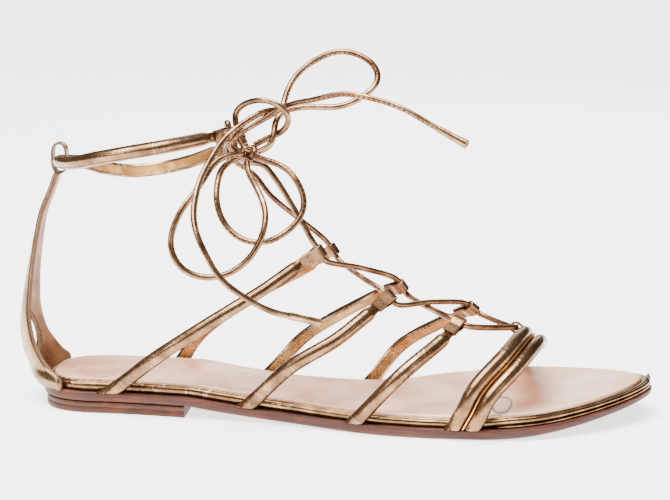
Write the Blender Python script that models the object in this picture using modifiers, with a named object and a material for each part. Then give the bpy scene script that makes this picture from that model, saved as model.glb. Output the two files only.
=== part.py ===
"""Gladiator sandal, right shoe: stacked sole, rolled straps with folded lace loops, heel stay, lace.

X runs from heel to toe, -Y is the outer side, Z is up. The origin is on the ground, under the
middle of the heel seat. Tables hold shares: along is of sole_length, measured from the back of
the sole, across is of ball_half, up is of instep_height.
"""

import math

import bmesh
import bpy
import numpy as np
from mathutils import Matrix, Vector

mm = 0.001

# Sole
sole_length = 247.8 * mm
ball_half = 41 * mm  # half the outsole's width over the ball
seat_centre = 31.3 * mm  # from the back of the sole to the origin
heel_length = 62.3 * mm
heel_height = 4.6 * mm
heel_inset = 1.0 * mm  # the heel block stands this far inside the outsole
toe_spring = 9.0 * mm
outsole_thickness = 4.0 * mm
outsole_edge = 0.9 * mm  # the bevel round the outsole's lower edge
midsole_thickness = 3.4 * mm
midsole_inset = 1.9 * mm  # from the outsole's edge to the midsole's
toe_layer_thickness = 0.9 * mm
toe_layer_start = 0.741  # share of the length where the toe layer begins
toe_layer_lift = 0.08  # share of the length over which the midsole rises onto it
insole_thickness = 1.0 * mm
insole_inset = 4.4 * mm  # from the outsole's edge to the insole's
insole_round = 0.8 * mm  # how far its upper edge is rounded inward
insole_side = 0.65  # share of its thickness where the rounding begins
clearance = 0.3 * mm  # between pieces that meet

# Upper
instep_height = 60 * mm
strap_width = 5.8 * mm
strap_thickness = 3.9 * mm
foot_thickness = 2.6 * mm  # of a strap's flattened lower end
foot_lean = 0.84  # how much of its slope a strap has at the sole
foot_gap = 0.7 * mm  # between it and the midsole's side
foot_buried = 4.5 * mm  # length below the outsole's top before it is trimmed
foot_turn = 14 * mm  # length over which a strap turns from the sole's edge to the foot
foot_middle = (0.12, 0.12)  # outward (share of ball_half) and up (share of instep_height)
lining_corner = 0.18  # share of a strap's thickness that its lining is narrower by, each side
tab_width = 4.8 * mm  # of the folded end that holds the lace
tab_thickness = 2.0 * mm
tab_length = 7.5 * mm
loop_turn = 24 * mm  # length over which a strap turns to face its loop
loop_wall = 0.9 * mm
loop_reach = 0.6  # of the loop's radius, from the strap's end to the loop's middle
bore_spare = 2 * mm  # how far the bore's cutter stands out of the loop at each end
tab_taper = 4 * mm  # length over which a strap narrows to its folded end
strap_spacing = 4.8 * mm  # between the stations a side strap is shaped by
vamp_spacing = 5.0 * mm  # between the stations the vamp strap is shaped by
vamp_gap = 0.9 * mm  # the dip between the vamp strap's two tubes
vamp_hold_drop = 0.8 * mm  # the lace's holder lies this much below the vamp strap's middle
stay_thickness = 2.2 * mm
stay_height = 93.8 * mm  # from the ground to the top loop
link_wall = 1.2 * mm  # of the stay's top loop
link_room = 1.3 * mm  # between the loop and the strap in it
link_square = 0.5  # 1 is an ellipse, less is squarer
link_slack = 2.0 * mm  # the loop stands this much taller than the strap in it
ankle_width = 5.6 * mm
ankle_thickness = 4.6 * mm
ankle_spacing = 5.4 * mm  # between the stations the ankle strap is shaped by
ankle_middle = 0.16  # share of the sole's length: the point that the strap faces away from

# Lace
lace_diameter = 2.0 * mm
lace_room = 0.5 * mm  # between the lace and the loop round it
lace_straight = 1.6 * mm  # how far it runs straight on past a loop
crossing_lift = 0.35  # of its diameter, at a crossing of the two runs
knot_size = 7.2 * mm
tip_length = 13 * mm
tip_diameter = 3.0 * mm

stations = 34
trim_reach = 15 * mm  # how far the tool that trims the straps' feet reaches past the sole

outline_rows = [
    # along, outer, inner: half widths from the axis, before the ends are rounded
    (0.00, 0.62, 0.56),
    (0.105, 0.62, 0.56),
    (0.164, 0.64, 0.55),
    (0.244, 0.70, 0.50),
    (0.353, 0.78, 0.37),
    (0.433, 0.88, 0.29),
    (0.513, 1.02, 0.28),
    (0.592, 1.13, 0.42),
    (0.662, 1.17, 0.70),
    (0.731, 1.17, 0.86),
    (0.811, 1.13, 0.91),
    (0.881, 1.04, 0.87),
    (1.00, 0.86, 0.74),
]
heel_round = 0.110  # share of the length over which the back is rounded
toe_round = 0.255

midsole_profile = [
    # inward from the midsole's edge in mm, up as a share of its thickness
    (0.9, 0.0),
    (0.15, 0.22),
    (0.0, 0.5),
    (0.25, 0.8),
    (1.0, 1.0),
]

underside_rows = [
    # along, height: share of the toe spring
    (0.00, 0.51),
    (0.251, 0.51),
    (0.304, 0.36),
    (0.363, 0.21),
    (0.433, 0.10),
    (0.503, 0.03),
    (0.557, 0.00),
    (0.721, 0.00),
    (0.771, 0.05),
    (0.821, 0.18),
    (0.881, 0.42),
    (0.940, 0.70),
    (1.00, 1.00),
]

thinning_rows = [
    # along, outsole, midsole: share of the full thickness
    (0.00, 1.02, 1.00),
    (0.304, 1.02, 1.00),
    (0.552, 1.02, 0.87),
    (0.751, 1.02, 0.76),
    (0.881, 0.77, 0.60),
    (1.00, 0.58, 0.52),
]

side_straps = [
    # name, side, along at the sole, then rows of along, across, up; the last row is the loop
    ("lateral_strap_1", -1, 0.128, [(0.199, -0.73, 0.390), (0.281, -0.71, 0.620),
                                    (0.373, -0.54, 0.852), (0.438, -0.37, 1.025),
                                    (0.459, -0.32, 1.080)]),
    ("lateral_strap_2", -1, 0.355, [(0.429, -0.93, 0.412), (0.499, -0.85, 0.588),
                                    (0.544, -0.60, 0.718), (0.574, -0.40, 0.795)]),
    ("lateral_strap_3", -1, 0.532, [(0.604, -1.07, 0.400), (0.662, -0.74, 0.577),
                                    (0.687, -0.50, 0.655)]),
    ("medial_strap_1", 1, 0.204, [(0.243, 0.54, 0.385), (0.333, 0.42, 0.670),
                                  (0.422, 0.22, 0.900), (0.473, 0.11, 1.040)]),
    ("medial_strap_2", 1, 0.358, [(0.416, 0.49, 0.368), (0.467, 0.46, 0.522),
                                  (0.552, 0.27, 0.735), (0.586, 0.15, 0.800)]),
    ("medial_strap_3", 1, 0.530, [(0.585, 0.49, 0.343), (0.647, 0.37, 0.520),
                                  (0.702, 0.17, 0.655)]),
]

vamp_rows = [
    # along, across, up, between the two ends at the sole
    (0.714, -1.19, 0.170),
    (0.731, -1.16, 0.310),
    (0.772, -0.90, 0.475),
    (0.801, -0.50, 0.565),
    (0.808, -0.20, 0.545),
    (0.807, 0.05, 0.495),
    (0.803, 0.30, 0.440),
    (0.791, 0.64, 0.350),
    (0.776, 0.885, 0.215),
]
vamp_feet = ((0.702, 0.5), (0.763, -0.1))  # along and lean, outer and inner
vamp_tilt = 0.5  # how far the strap leans forward with the foot, per share that it faces up
vamp_hold_row = 4  # the row behind which the strap holds the lace

stay_rows = [
    # up (share of stay_height), back, half width and bend (how far its outer edge lies forward),
    # all three as shares of ball_half; below the third row it turns to the sole's edge
    (0.075, 0.000, 0.490, 0.365),
    (0.125, -0.100, 0.490, 0.360),
    (0.165, -0.155, 0.445, 0.300),
    (0.211, -0.190, 0.410, 0.245),
    (0.280, -0.220, 0.340, 0.180),
    (0.357, -0.226, 0.290, 0.136),
    (0.490, -0.187, 0.215, 0.090),
    (0.660, -0.105, 0.150, 0.045),
    (0.820, -0.015, 0.105, 0.020),
    (0.950, 0.115, 0.068, 0.005),
    (1.000, 0.158, 0.060, 0.000),
]
stay_inner_bend = 0.70  # the inner edge's bend, as a share of the outer one's
stay_reach = (0.046, 0.022)  # share of the sole's length that the lower end covers, outer and inner
slit_low, slit_high = 0.175, 0.385  # shares of stay_height
slit_half = 7.5 * mm
slit_shift = 2.0 * mm  # toward the inner side
slit_taper = 0.30  # how much narrower its top is
slit_reach = (-0.6, 0.02)  # of the tool that cuts it, from the sole's back, share of ball_half

ankle_rows = [
    # along, across, rise (from the back of the heel, share of instep_height), from the lace end
    # on the outer side round the heel to the inner one
    (0.312, -0.22, 0.215),
    (0.282, -0.42, 0.196),
    (0.226, -0.68, 0.165),
    (0.169, -0.70, 0.125),
    (0.115, -0.62, 0.080),
    (0.067, -0.42, 0.030),
    (0.029, 0.00, 0.000),
    (0.055, 0.28, -0.030),
    (0.087, 0.47, -0.085),
    (0.130, 0.62, -0.115),
    (0.179, 0.65, -0.095),
    (0.232, 0.54, -0.040),
    (0.280, 0.33, 0.040),
    (0.309, 0.145, 0.088),
]
ankle_back_row = 6  # the row at the back of the heel

lace_order = (
    ("lateral_strap_1", "medial_strap_2", "lateral_strap_3"),
    ("medial_strap_1", "lateral_strap_2", "medial_strap_3"),
)

# Lace: each route is a list of points in mm, chosen by hand
knot_place = (55, -8, 104)
vamp_bend = (-2, 0.6)  # back and outward from its straight part, where it turns into the vamp
run_starts = [
    # the points between the knot and the ankle strap's loop, then from there to the first strap
    ([(51, -4, 108), (47, -2.8, 112), (45.8, -4.8, 115.3)], [(53, -3, 100), (60, -5, 99), (65, -6, 94)]),
    ([(52, -2, 108), (50, 2.5, 112)], [(56, 0, 94), (63, -2, 86)]),
]
bow_routes = [
    # name, whether it leaves the knot and comes back to it, points
    ("bow_loop_1", True, True,
     [(61, -13, 102), (68, -17, 101), (73, -20, 98), (77, -23, 93), (79, -25, 88), (78, -28, 82),
      (73, -31, 77), (69, -32, 74), (64, -33, 73), (58, -33, 73), (51, -31, 77), (47, -29, 82),
      (45, -26, 89), (45, -21, 95), (46, -15.5, 99), (48, -12, 101)]),
    ("bow_loop_2", True, True,
     [(52, -12.5, 104), (49, -14, 104), (46, -16, 103), (43, -19, 101), (40, -25, 96),
      (37, -30, 91), (32, -35, 84), (30, -38, 77), (29, -40, 73), (31, -41, 68), (34, -41, 63),
      (39, -41, 61), (45, -41, 60), (50, -40, 61), (57, -39, 65), (62, -37, 71), (64, -36, 76),
      (65, -32, 82), (63, -27, 88), (60, -22, 92), (57, -16, 96), (54, -11, 99)]),
    ("bow_loop_3", True, True,
     [(58, -5, 108.5), (61, -4.5, 109.3), (66, -4.5, 111), (69, -6.5, 114), (71, -8.5, 117),
      (71, -9.5, 119), (69, -10, 122), (65, -9.5, 124), (60, -8, 125), (56, -6.5, 124),
      (52, -5, 122), (49, -4, 120), (49, -4, 117), (50, -5, 115), (51, -6.5, 112), (53, -7.5, 109)]),
    ("bow_loop_4", True, False,
     [(61, -9, 105), (64, -8.7, 107), (65, -7.7, 111), (65, -5, 115), (66, -1.5, 118),
      (69, -0.5, 120), (73, -1, 121), (78, -2, 122), (85, -1.5, 122), (91, -0.5, 122),
      (97, 1, 125), (102, 4, 128), (105, 7, 132), (104, 9, 136), (100, 11, 140), (94, 12.5, 142),
      (89, 13, 143), (83, 13, 141), (76, 12, 137), (71, 9.5, 132), (69, 7.5, 128), (68, 5, 125),
      (67.5, 2.3, 122)]),
    ("lace_end_1", False, False,
     [(65.3, -1, 120.6), (64, -3, 121), (61, -6.5, 120), (56, -10, 118), (51, -12.8, 114),
      (47, -16.5, 111), (44, -22, 106), (41, -29, 100), (40, -33, 97), (39, -38, 91),
      (39, -43, 85), (41, -48, 78), (45, -51, 71), (50, -53, 63), (57, -53, 57), (63, -52, 53),
      (70, -50, 49), (76, -47, 47)]),
    ("lace_end_2", True, False,
     [(49.2, -9.5, 105), (48.3, -11.5, 107.5), (51, -12.3, 111), (55, -11.5, 114), (59, -8.5, 116),
      (63, -6, 119), (66, -5, 120), (69, -6.5, 122), (73, -9.5, 124), (77, -13, 125),
      (85, -17, 127), (93, -19, 129), (103, -22, 128), (112, -24, 126), (120, -26, 123),
      (127, -27, 119), (131, -28, 117)]),
]
end_routes = {"lace_end_1": "lace_tip_1", "lace_end_2": "lace_tip_2"}


def shape(rows, column, share):
    """Read a table's column at a share of the length, smoothly and without overshoot."""
    xs = np.array([row[0] for row in rows], float)
    ys = np.array([row[column] for row in rows], float)
    steps = np.diff(xs)
    slopes = np.diff(ys) / steps
    tangents = np.zeros(len(xs))
    tangents[0], tangents[-1] = slopes[0], slopes[-1]
    for i in range(1, len(xs) - 1):
        if slopes[i - 1] * slopes[i] > 0:
            tangents[i] = 2 * slopes[i - 1] * slopes[i] / (slopes[i - 1] + slopes[i])
    share = min(max(share, xs[0]), xs[-1])
    i = min(int(np.searchsorted(xs, share, side="right")) - 1, len(steps) - 1)
    t = (share - xs[i]) / steps[i]
    return float(
        ys[i] * (2 * t**3 - 3 * t**2 + 1)
        + tangents[i] * steps[i] * (t**3 - 2 * t**2 + t)
        + ys[i + 1] * (3 * t**2 - 2 * t**3)
        + tangents[i + 1] * steps[i] * (t**3 - t**2)
    )


def along(share):
    return share * sole_length - seat_centre


def share_at(x):
    return (x + seat_centre) / sole_length


def rounding(share):
    """How much of its width the outline keeps near the two ends."""
    if share < heel_round:
        return max(0, 1 - (1 - share / heel_round) ** 2.5) ** (1 / 2.5)
    if share > 1 - toe_round:
        return max(0, 1 - ((share - 1 + toe_round) / toe_round) ** 2.3) ** (1 / 1.75)
    return 1.0


def edge(share, side):
    """The outsole's edge at a share of the length; side is -1 outside and 1 inside."""
    column = 1 if side < 0 else 2
    return side * shape(outline_rows, column, share) * ball_half * rounding(share)


def underside(x):
    return shape(underside_rows, 1, share_at(x)) * toe_spring


def outsole_top(x):
    return underside(x) + outsole_thickness * shape(thinning_rows, 1, share_at(x))


def toe_layer_top(x):
    """Where the toe layer lies, it lifts the midsole; behind it the height is the outsole's."""
    rise = min(max((share_at(x) - toe_layer_start) / toe_layer_lift + 0.5, 0), 1)
    rise = rise * rise * (3 - 2 * rise)
    return outsole_top(x) + rise * (clearance + toe_layer_thickness)


def midsole_top(x):
    return toe_layer_top(x) + clearance + midsole_thickness * shape(thinning_rows, 2, share_at(x))


def insole_top(x):
    return midsole_top(x) + clearance + insole_thickness


def outline(start, end, inset):
    """Pairs of points, outer and inner, moved inward from the outsole's edge by inset."""
    pairs = []
    for i in range(stations + 1):
        even = i / stations
        crowded = (1 - math.cos(math.pi * even)) / 2  # closer together toward the two ends
        share = start + (end - start) * (even + crowded) / 2
        if share in (0, 1):
            tip = Vector((along(share) + inset * (1 - 2 * share), 0))
            pairs.append((tip, tip))
        else:
            pairs.append(tuple(moved_in(share, side, inset) for side in (-1, 1)))
    return pairs


def inward(share, side):
    """The direction from the sole's edge to its middle, square to the edge."""
    small = 0.0015  # share of the length between the two places whose edges are compared
    before, after = max(share - small, 0), min(share + small, 1)
    run = Vector((along(after) - along(before), edge(after, side) - edge(before, side)))
    return Vector((run.y, -run.x)).normalized() * side


def moved_in(share, side, inset):
    return Vector((along(share), edge(share, side))) + inward(share, side) * inset


def new_object(name, mesh, material, collection):
    ob = bpy.data.objects.new(name, mesh)
    collection.objects.link(ob)
    if material:
        mesh.materials.append(material)
    return ob


def finished(name, bm, material, collection, smooth=True):
    """Turn a closed bmesh into an object with its faces outward."""
    bmesh.ops.remove_doubles(bm, verts=bm.verts, dist=0.02 * mm)
    bmesh.ops.recalc_face_normals(bm, faces=bm.faces)
    mesh = bpy.data.meshes.new(name)
    bm.to_mesh(mesh)
    bm.free()
    if smooth:
        mesh.shade_smooth()
        mesh.set_sharp_from_angle(angle=math.radians(35))
    return new_object(name, mesh, material, collection)


def layered(name, material, layers, start=0.0, end=1.0, collection=None):
    """A sole piece: each layer is an inset from the outsole's edge and a height function."""
    bm = bmesh.new()
    rings = []
    for inset, height in layers:
        pairs = outline(start, end, inset)
        rings.append([[bm.verts.new((p.x, p.y, height(p.x))) for p in pair] for pair in pairs])
    last = len(rings[0]) - 1
    for low, high in zip(rings, rings[1:]):
        for side in (0, 1):
            for i in range(last):
                bm.faces.new((low[i][side], low[i + 1][side], high[i + 1][side], high[i][side]))
        for i in (0, last):
            bm.faces.new((low[i][0], low[i][1], high[i][1], high[i][0]))
    for ring in (rings[0], rings[-1]):
        for i in range(last):
            bm.faces.new((ring[i][0], ring[i + 1][0], ring[i + 1][1], ring[i][1]))
    bmesh.ops.dissolve_degenerate(bm, edges=bm.edges, dist=0.02 * mm)
    return finished(name, bm, material, collection or sandal)


def smooth_path(points, spacing):
    """Points at about the same spacing on a smooth curve through the given ones."""
    points = [Vector(p) for p in points]
    padded = [2 * points[0] - points[1], *points, 2 * points[-1] - points[-2]]
    fine = []
    for a, b, c, d in zip(padded, padded[1:], padded[2:], padded[3:]):
        first, middle, last = (math.sqrt((q - p).length) for p, q in ((a, b), (b, c), (c, d)))
        leave = (c - b) + ((b - a) / first - (c - a) / (first + middle)) * middle
        arrive = (c - b) + ((d - c) / last - (d - b) / (middle + last)) * middle
        for k in range(12):
            t = k / 12
            fine.append(b * (2 * t**3 - 3 * t**2 + 1) + leave * (t**3 - 2 * t**2 + t)
                        + c * (3 * t**2 - 2 * t**3) + arrive * (t**3 - t**2))
    fine.append(points[-1])
    lengths = [0.0]
    for p, q in zip(fine, fine[1:]):
        lengths.append(lengths[-1] + (q - p).length)
    count = max(2, round(lengths[-1] / spacing))
    placed = []
    for k in range(count + 1):
        target = lengths[-1] * k / count
        i = min(int(np.searchsorted(lengths, target, side="right")) - 1, len(fine) - 2)
        t = (target - lengths[i]) / max(lengths[i + 1] - lengths[i], 1e-9)
        placed.append(fine[i].lerp(fine[i + 1], min(t, 1)))
    return placed


def tangent(path, i):
    return (path[min(i + 1, len(path) - 1)] - path[max(i - 1, 0)]).normalized()


def swept(bm, path, facing, sections):
    """Loft a section along a path. facing gives the outward direction at each point."""
    rings = []
    for i, centre in enumerate(path):
        forward = tangent(path, i)
        outward = (facing[i] - forward * facing[i].dot(forward)).normalized()
        across = forward.cross(outward)
        rings.append([bm.verts.new(centre + across * a + outward * b) for a, b in sections[i]])
    for low, high in zip(rings, rings[1:]):
        for i in range(len(low)):
            j = (i + 1) % len(low)
            bm.faces.new((low[i], low[j], high[j], high[i]))
    bm.faces.new(rings[0])
    bm.faces.new(rings[-1])


def half_round(width, thickness):
    """A strap's section: flat lining inside, rolled leather outside; its middle is the path."""
    corner = lining_corner * thickness
    points = [(-width / 2 + corner, -thickness / 2), (width / 2 - corner, -thickness / 2)]
    for k in range(7):
        turn = math.pi * (k / 6)
        points.append((width / 2 * math.cos(turn), -thickness / 2 + corner
                       + (thickness - corner) * math.sin(turn)))
    return points


def twin_round(width, thickness):
    """The vamp strap's section: two tubes side by side on one lining."""
    lobe = (width - vamp_gap) / 2
    corner = lining_corner * thickness
    points = [(-width / 2 + corner, -thickness / 2), (width / 2 - corner, -thickness / 2)]
    for centre in (width / 2 - lobe / 2, -width / 2 + lobe / 2):
        for k in range(6):
            turn = math.pi * (k / 5)
            points.append((centre + lobe / 2 * math.cos(turn), -thickness / 2 + corner
                           + (thickness - corner) * math.sin(turn)))
    return points


def box_section(width, thickness):
    return [(-width / 2, -thickness / 2), (width / 2, -thickness / 2),
            (width / 2, thickness / 2), (-width / 2, thickness / 2)]


def place(row):
    """A point from its shares of the sole's length, the ball's half width and the instep."""
    return Vector((along(row[0]), row[1] * ball_half, row[2] * instep_height))


def ankle_place(row):
    """A point of the ankle strap's middle; at the back it lies in the stay's top loop."""
    back = stay_height + link_wall / 2 + link_room + ankle_width / 2
    return Vector((along(row[0]), row[1] * ball_half, back + row[2] * instep_height))


def foot_rise(share, side, lean):
    """A strap's lower end along the sole's edge; lean is its run along the edge per rise.

    It starts below the outsole's top, where it is trimmed later.
    """
    points = []
    inset = midsole_inset - foot_gap - foot_thickness / 2
    for height in (-foot_buried, midsole_thickness):
        spot = moved_in(share + lean * height / sole_length, side, inset)
        points.append(Vector((spot.x, spot.y, outsole_top(spot.x) + clearance + height)))
    return points


def facing_at(point, side, done, tilt=0.0):
    """A strap's outward direction: square to the sole's edge low down, round the foot above."""
    upper = outward_at(point)
    upper.x = tilt * upper.z
    lower = -inward(share_at(point.x), side).to_3d()
    low = min(max(1 - (done - foot_buried) / foot_turn, 0), 1)
    return upper.lerp(lower, low).normalized()


def outward_at(point):
    """Away from the middle of the foot."""
    middle = Vector((point.x, -foot_middle[0] * ball_half, foot_middle[1] * instep_height))
    direction = point - middle
    direction.x = 0
    return direction.normalized()


def join(ob, other, operation):
    cut = ob.modifiers.new(other.name, "BOOLEAN")
    cut.operation = operation
    cut.object = other
    other.hide_render = True
    other.display_type = "WIRE"


def rod(name, centre, axis, radius, length, sides):
    """A closed cylinder for joining or cutting."""
    bm = bmesh.new()
    bmesh.ops.create_cone(bm, cap_ends=True, segments=sides, radius1=radius, radius2=radius,
                          depth=length)
    turn = Vector((0, 0, 1)).rotation_difference(axis).to_matrix().to_4x4()
    bmesh.ops.transform(bm, matrix=Matrix.Translation(centre) @ turn, verts=bm.verts)
    return finished(name, bm, None, cutters, smooth=False)


bore_radius = lace_diameter / 2 + lace_room
loop_radius = bore_radius + loop_wall


def lace_loop(ob, centre, axis, width):
    """The folded end of a strap: a short sleeve round the lace, with its bore."""
    sleeve = rod(ob.name + "_sleeve", centre, axis, loop_radius, width, 14)
    bore = rod(ob.name + "_bore", centre, axis, bore_radius, width + 2 * bore_spare, 12)
    join(ob, sleeve, "UNION")
    join(ob, bore, "DIFFERENCE")


def side_strap(name, side, base, rows, pull, material):
    """A rolled strap from the sole's edge to its folded loop; returns the loop's place."""
    first = place(rows[0])
    lean = foot_lean * (first.x - along(base)) / (first.z - midsole_top(along(base)))
    anchors = foot_rise(base, side, lean) + [place(row) for row in rows]
    path = smooth_path(anchors, strap_spacing)
    count = len(path) - 1
    total = sum((q - p).length for p, q in zip(path, path[1:]))
    forward = tangent(path, count)
    axis = (pull - forward * pull.dot(forward)).normalized()
    flat = axis.cross(forward)
    if flat.dot(outward_at(path[-1])) < 0:
        flat = -flat
    facing, sections = [], []
    done = 0.0
    for i, point in enumerate(path):
        if i:
            done += (point - path[i - 1]).length
        turn = min(max(1 - (total - done) / loop_turn, 0), 1)
        facing.append(facing_at(point, side, done).lerp(flat, turn).normalized())
        foot = min(max(1 - (done - foot_buried) / foot_turn, 0), 1)
        tab = max(0, 1 - max(total - done - tab_length, 0) / tab_taper)
        width = strap_width + (tab_width - strap_width) * tab
        thickness = strap_thickness + (foot_thickness - strap_thickness) * foot
        thickness += (tab_thickness - thickness) * tab
        sections.append(half_round(width, thickness))
    bm = bmesh.new()
    swept(bm, path, facing, sections)
    ob = finished(name, bm, material, sandal)
    centre = path[-1] + forward * loop_reach * loop_radius
    lace_loop(ob, centre, axis, tab_width)
    join(ob, foot_trim, "DIFFERENCE")
    return centre, axis


def vamp_strap(material):
    """The double strap over the ball, from edge to edge, with the lace's holder behind it."""
    (outer, outer_lean), (inner, inner_lean) = vamp_feet
    anchors = foot_rise(outer, -1, outer_lean) + [place(row) for row in vamp_rows]
    path = smooth_path(anchors + foot_rise(inner, 1, inner_lean)[::-1], vamp_spacing)
    width = 2 * strap_width + vamp_gap
    ends = len(path) - 1
    facing, sections = [], []
    for i, point in enumerate(path):
        done = min(i, ends - i) * vamp_spacing
        facing.append(facing_at(point, -1 if 2 * i < ends else 1, done, vamp_tilt))
        foot = min(max(1 - (done - foot_buried) / foot_turn, 0), 1)
        sections.append(twin_round(width, strap_thickness + (foot_thickness - strap_thickness) * foot))
    bm = bmesh.new()
    swept(bm, path, facing, sections)
    ob = finished("vamp_strap", bm, material, sandal)
    hold = place(vamp_rows[vamp_hold_row]).y
    middle = min(range(len(path)), key=lambda i: abs(path[i].y - hold))
    forward = tangent(path, middle)
    outward = (facing[middle] - forward * facing[middle].dot(forward)).normalized()
    backward = outward.cross(forward)
    if backward.x > 0:
        backward = -backward
    centre = path[middle] + backward * (width / 2 + loop_reach * loop_radius) - outward * vamp_hold_drop
    lace_loop(ob, centre, forward, tab_width)
    join(ob, foot_trim, "DIFFERENCE")
    return centre, forward


def stay_point(share, across):
    """A point of the heel stay's middle surface; across runs from -1 outside to 1 inside."""
    back = along(0) + shape(stay_rows, 1, share) * ball_half
    half = shape(stay_rows, 2, share) * ball_half
    bend = shape(stay_rows, 3, share) * ball_half * (stay_inner_bend if across > 0 else 1)
    spot = Vector((back + bend * across**2, half * across))
    low = min(max((stay_rows[2][0] - share) / (stay_rows[2][0] - stay_rows[1][0]), 0), 1)
    side = -1 if across < 0 else 1
    inset = midsole_inset - foot_gap - stay_thickness / 2
    if across:
        foot = moved_in(stay_reach[side > 0] * across**2, side, inset)
    else:
        foot = Vector((along(0) + inset, 0))
    foot.x += (back - along(0)) * (1 - across**2)
    spot = spot.lerp(foot, low)
    return Vector((spot.x, spot.y, share * stay_height))


def heel_stay(material):
    """The moulded back piece: two legs from the seat that meet above a slit, and a top loop."""
    bm = bmesh.new()
    rows, columns = 16, 8
    low = stay_rows[0][0]
    grid = []
    for r in range(rows + 1):
        share = low + (1 - low) * (r / rows)
        grid.append([bm.verts.new(stay_point(share, -1 + 2 * c / columns)) for c in range(columns + 1)])
    for below, above in zip(grid, grid[1:]):
        for c in range(columns):
            bm.faces.new((below[c], above[c], above[c + 1], below[c + 1]))
    ob = finished("heel_stay", bm, material, sandal)
    wall = ob.modifiers.new("wall", "SOLIDIFY")
    wall.thickness = stay_thickness
    wall.offset = 0
    wall.use_even_offset = True

    bm = bmesh.new()
    count = 14
    rings = []
    for x in (along(0) + reach * ball_half for reach in slit_reach):
        ring = []
        for k in range(count):
            turn = 2 * math.pi * k / count
            height = (slit_low + slit_high) / 2 + (slit_high - slit_low) / 2 * math.sin(turn)
            taper = 1 - slit_taper * math.sin(turn)
            across = slit_shift + slit_half * math.cos(turn) * taper
            ring.append(bm.verts.new((x, across, height * stay_height)))
        rings.append(ring)
    for k in range(count):
        j = (k + 1) % count
        bm.faces.new((rings[0][k], rings[0][j], rings[1][j], rings[1][k]))
    bm.faces.new(rings[0])
    bm.faces.new(rings[1])
    slit = finished("heel_stay_slit", bm, None, cutters, smooth=False)
    join(ob, slit, "DIFFERENCE")

    ring_section = box_section(2 * stay_rows[-1][2] * ball_half, link_wall)
    back_of_ankle = ankle_place(ankle_rows[ankle_back_row])
    half_x = ankle_thickness / 2 + link_room + link_wall / 2
    half_z = ankle_width / 2 + link_room + link_wall / 2
    bm = bmesh.new()
    rings = []
    turns = 20
    for k in range(turns):
        turn = 2 * math.pi * k / turns
        c, s = math.cos(turn), math.sin(turn)
        over = half_x * math.copysign(abs(c) ** link_square, c)
        up = half_z * math.copysign(abs(s) ** link_square, s) + link_slack * (1 + s) / 2
        spot = back_of_ankle + Vector((over, 0, up))
        outward = Vector((c / half_x, 0, s / half_z)).normalized()
        rings.append([bm.verts.new(spot + Vector((0, a, 0)) + outward * b) for a, b in ring_section])
    for k in range(turns):
        low_ring, high_ring = rings[k], rings[(k + 1) % turns]
        for i in range(4):
            j = (i + 1) % 4
            bm.faces.new((low_ring[i], low_ring[j], high_ring[j], high_ring[i]))
    link = finished("heel_stay_link", bm, None, cutters, smooth=False)
    join(ob, link, "UNION")
    join(ob, foot_trim, "DIFFERENCE")


def ankle_strap(material):
    """The rolled strap round the ankle, through the stay's top loop, with a lace loop at each end."""
    path = smooth_path([ankle_place(row) for row in ankle_rows], ankle_spacing)
    middle = Vector((along(ankle_middle), 0, 0))
    facing, sections = [], []
    ends = len(path) - 1
    for i, point in enumerate(path):
        away = point - middle
        away.z = 0
        facing.append(away.normalized())
        near = min(i, ends - i) * ankle_spacing
        tab = max(0, 1 - max(near - tab_length, 0) / tab_taper)
        thickness = ankle_thickness + (tab_thickness - ankle_thickness) * tab
        sections.append(half_round(ankle_width + (tab_width - ankle_width) * tab, thickness))
    bm = bmesh.new()
    swept(bm, path, facing, sections)
    ob = finished("ankle_strap", bm, material, sandal)
    loops = []
    for end, step in ((0, 1), (ends, -1)):
        out = (path[end] - path[end + step]).normalized()
        outward = (facing[end] - out * facing[end].dot(out)).normalized()
        axis = out.cross(outward).normalized()
        if axis.z > 0:
            axis = -axis
        centre = path[end] + out * loop_reach * loop_radius
        lace_loop(ob, centre, axis, tab_width)
        loops.append((centre, axis))
    return loops


def tube(name, points, diameter, material, spacing=3.0):
    """A length of lace on a smooth path through its own points; spacing is in diameters."""
    curve = bpy.data.curves.new(name, "CURVE")
    curve.dimensions = "3D"
    path = smooth_path(points, spacing * diameter)
    spline = curve.splines.new("POLY")
    spline.points.add(len(path) - 1)
    for spot, point in zip(spline.points, path):
        spot.co = (*point, 1)
    curve.bevel_depth = diameter / 2
    curve.bevel_resolution = 2
    curve.use_fill_caps = True
    if material:
        curve.materials.append(material)
    ob = bpy.data.objects.new(name, curve)
    sandal.objects.link(ob)
    return ob


def meshed(ob, collection):
    """The curve object made a closed mesh object of the same name."""
    bpy.context.view_layer.update()
    graph = bpy.context.evaluated_depsgraph_get()
    mesh = bpy.data.meshes.new_from_object(ob.evaluated_get(graph))
    name, place_of = ob.name, ob.matrix_world.copy()
    curve = ob.data
    bpy.data.objects.remove(ob)
    bpy.data.curves.remove(curve)
    bm = bmesh.new()
    bm.from_mesh(mesh)
    bmesh.ops.remove_doubles(bm, verts=bm.verts, dist=0.01 * mm)
    bmesh.ops.recalc_face_normals(bm, faces=bm.faces)
    bm.to_mesh(mesh)
    bm.free()
    made = bpy.data.objects.new(name, mesh)
    made.matrix_world = place_of
    collection.objects.link(made)
    return made


def through(loop):
    """The lace's points before, in and after a loop, in the loop's own direction."""
    centre, axis = loop
    reach = tab_width / 2 + lace_straight
    return [centre - axis * reach, centre, centre + axis * reach]


def in_metres(points):
    return [Vector(point) * mm for point in points]


def at_knot(point):
    """The place on the knot from which a strand leaves towards a point."""
    middle = Vector(knot_place) * mm
    return middle + (point - middle).normalized() * (knot_size / 2 + clearance)


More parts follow.
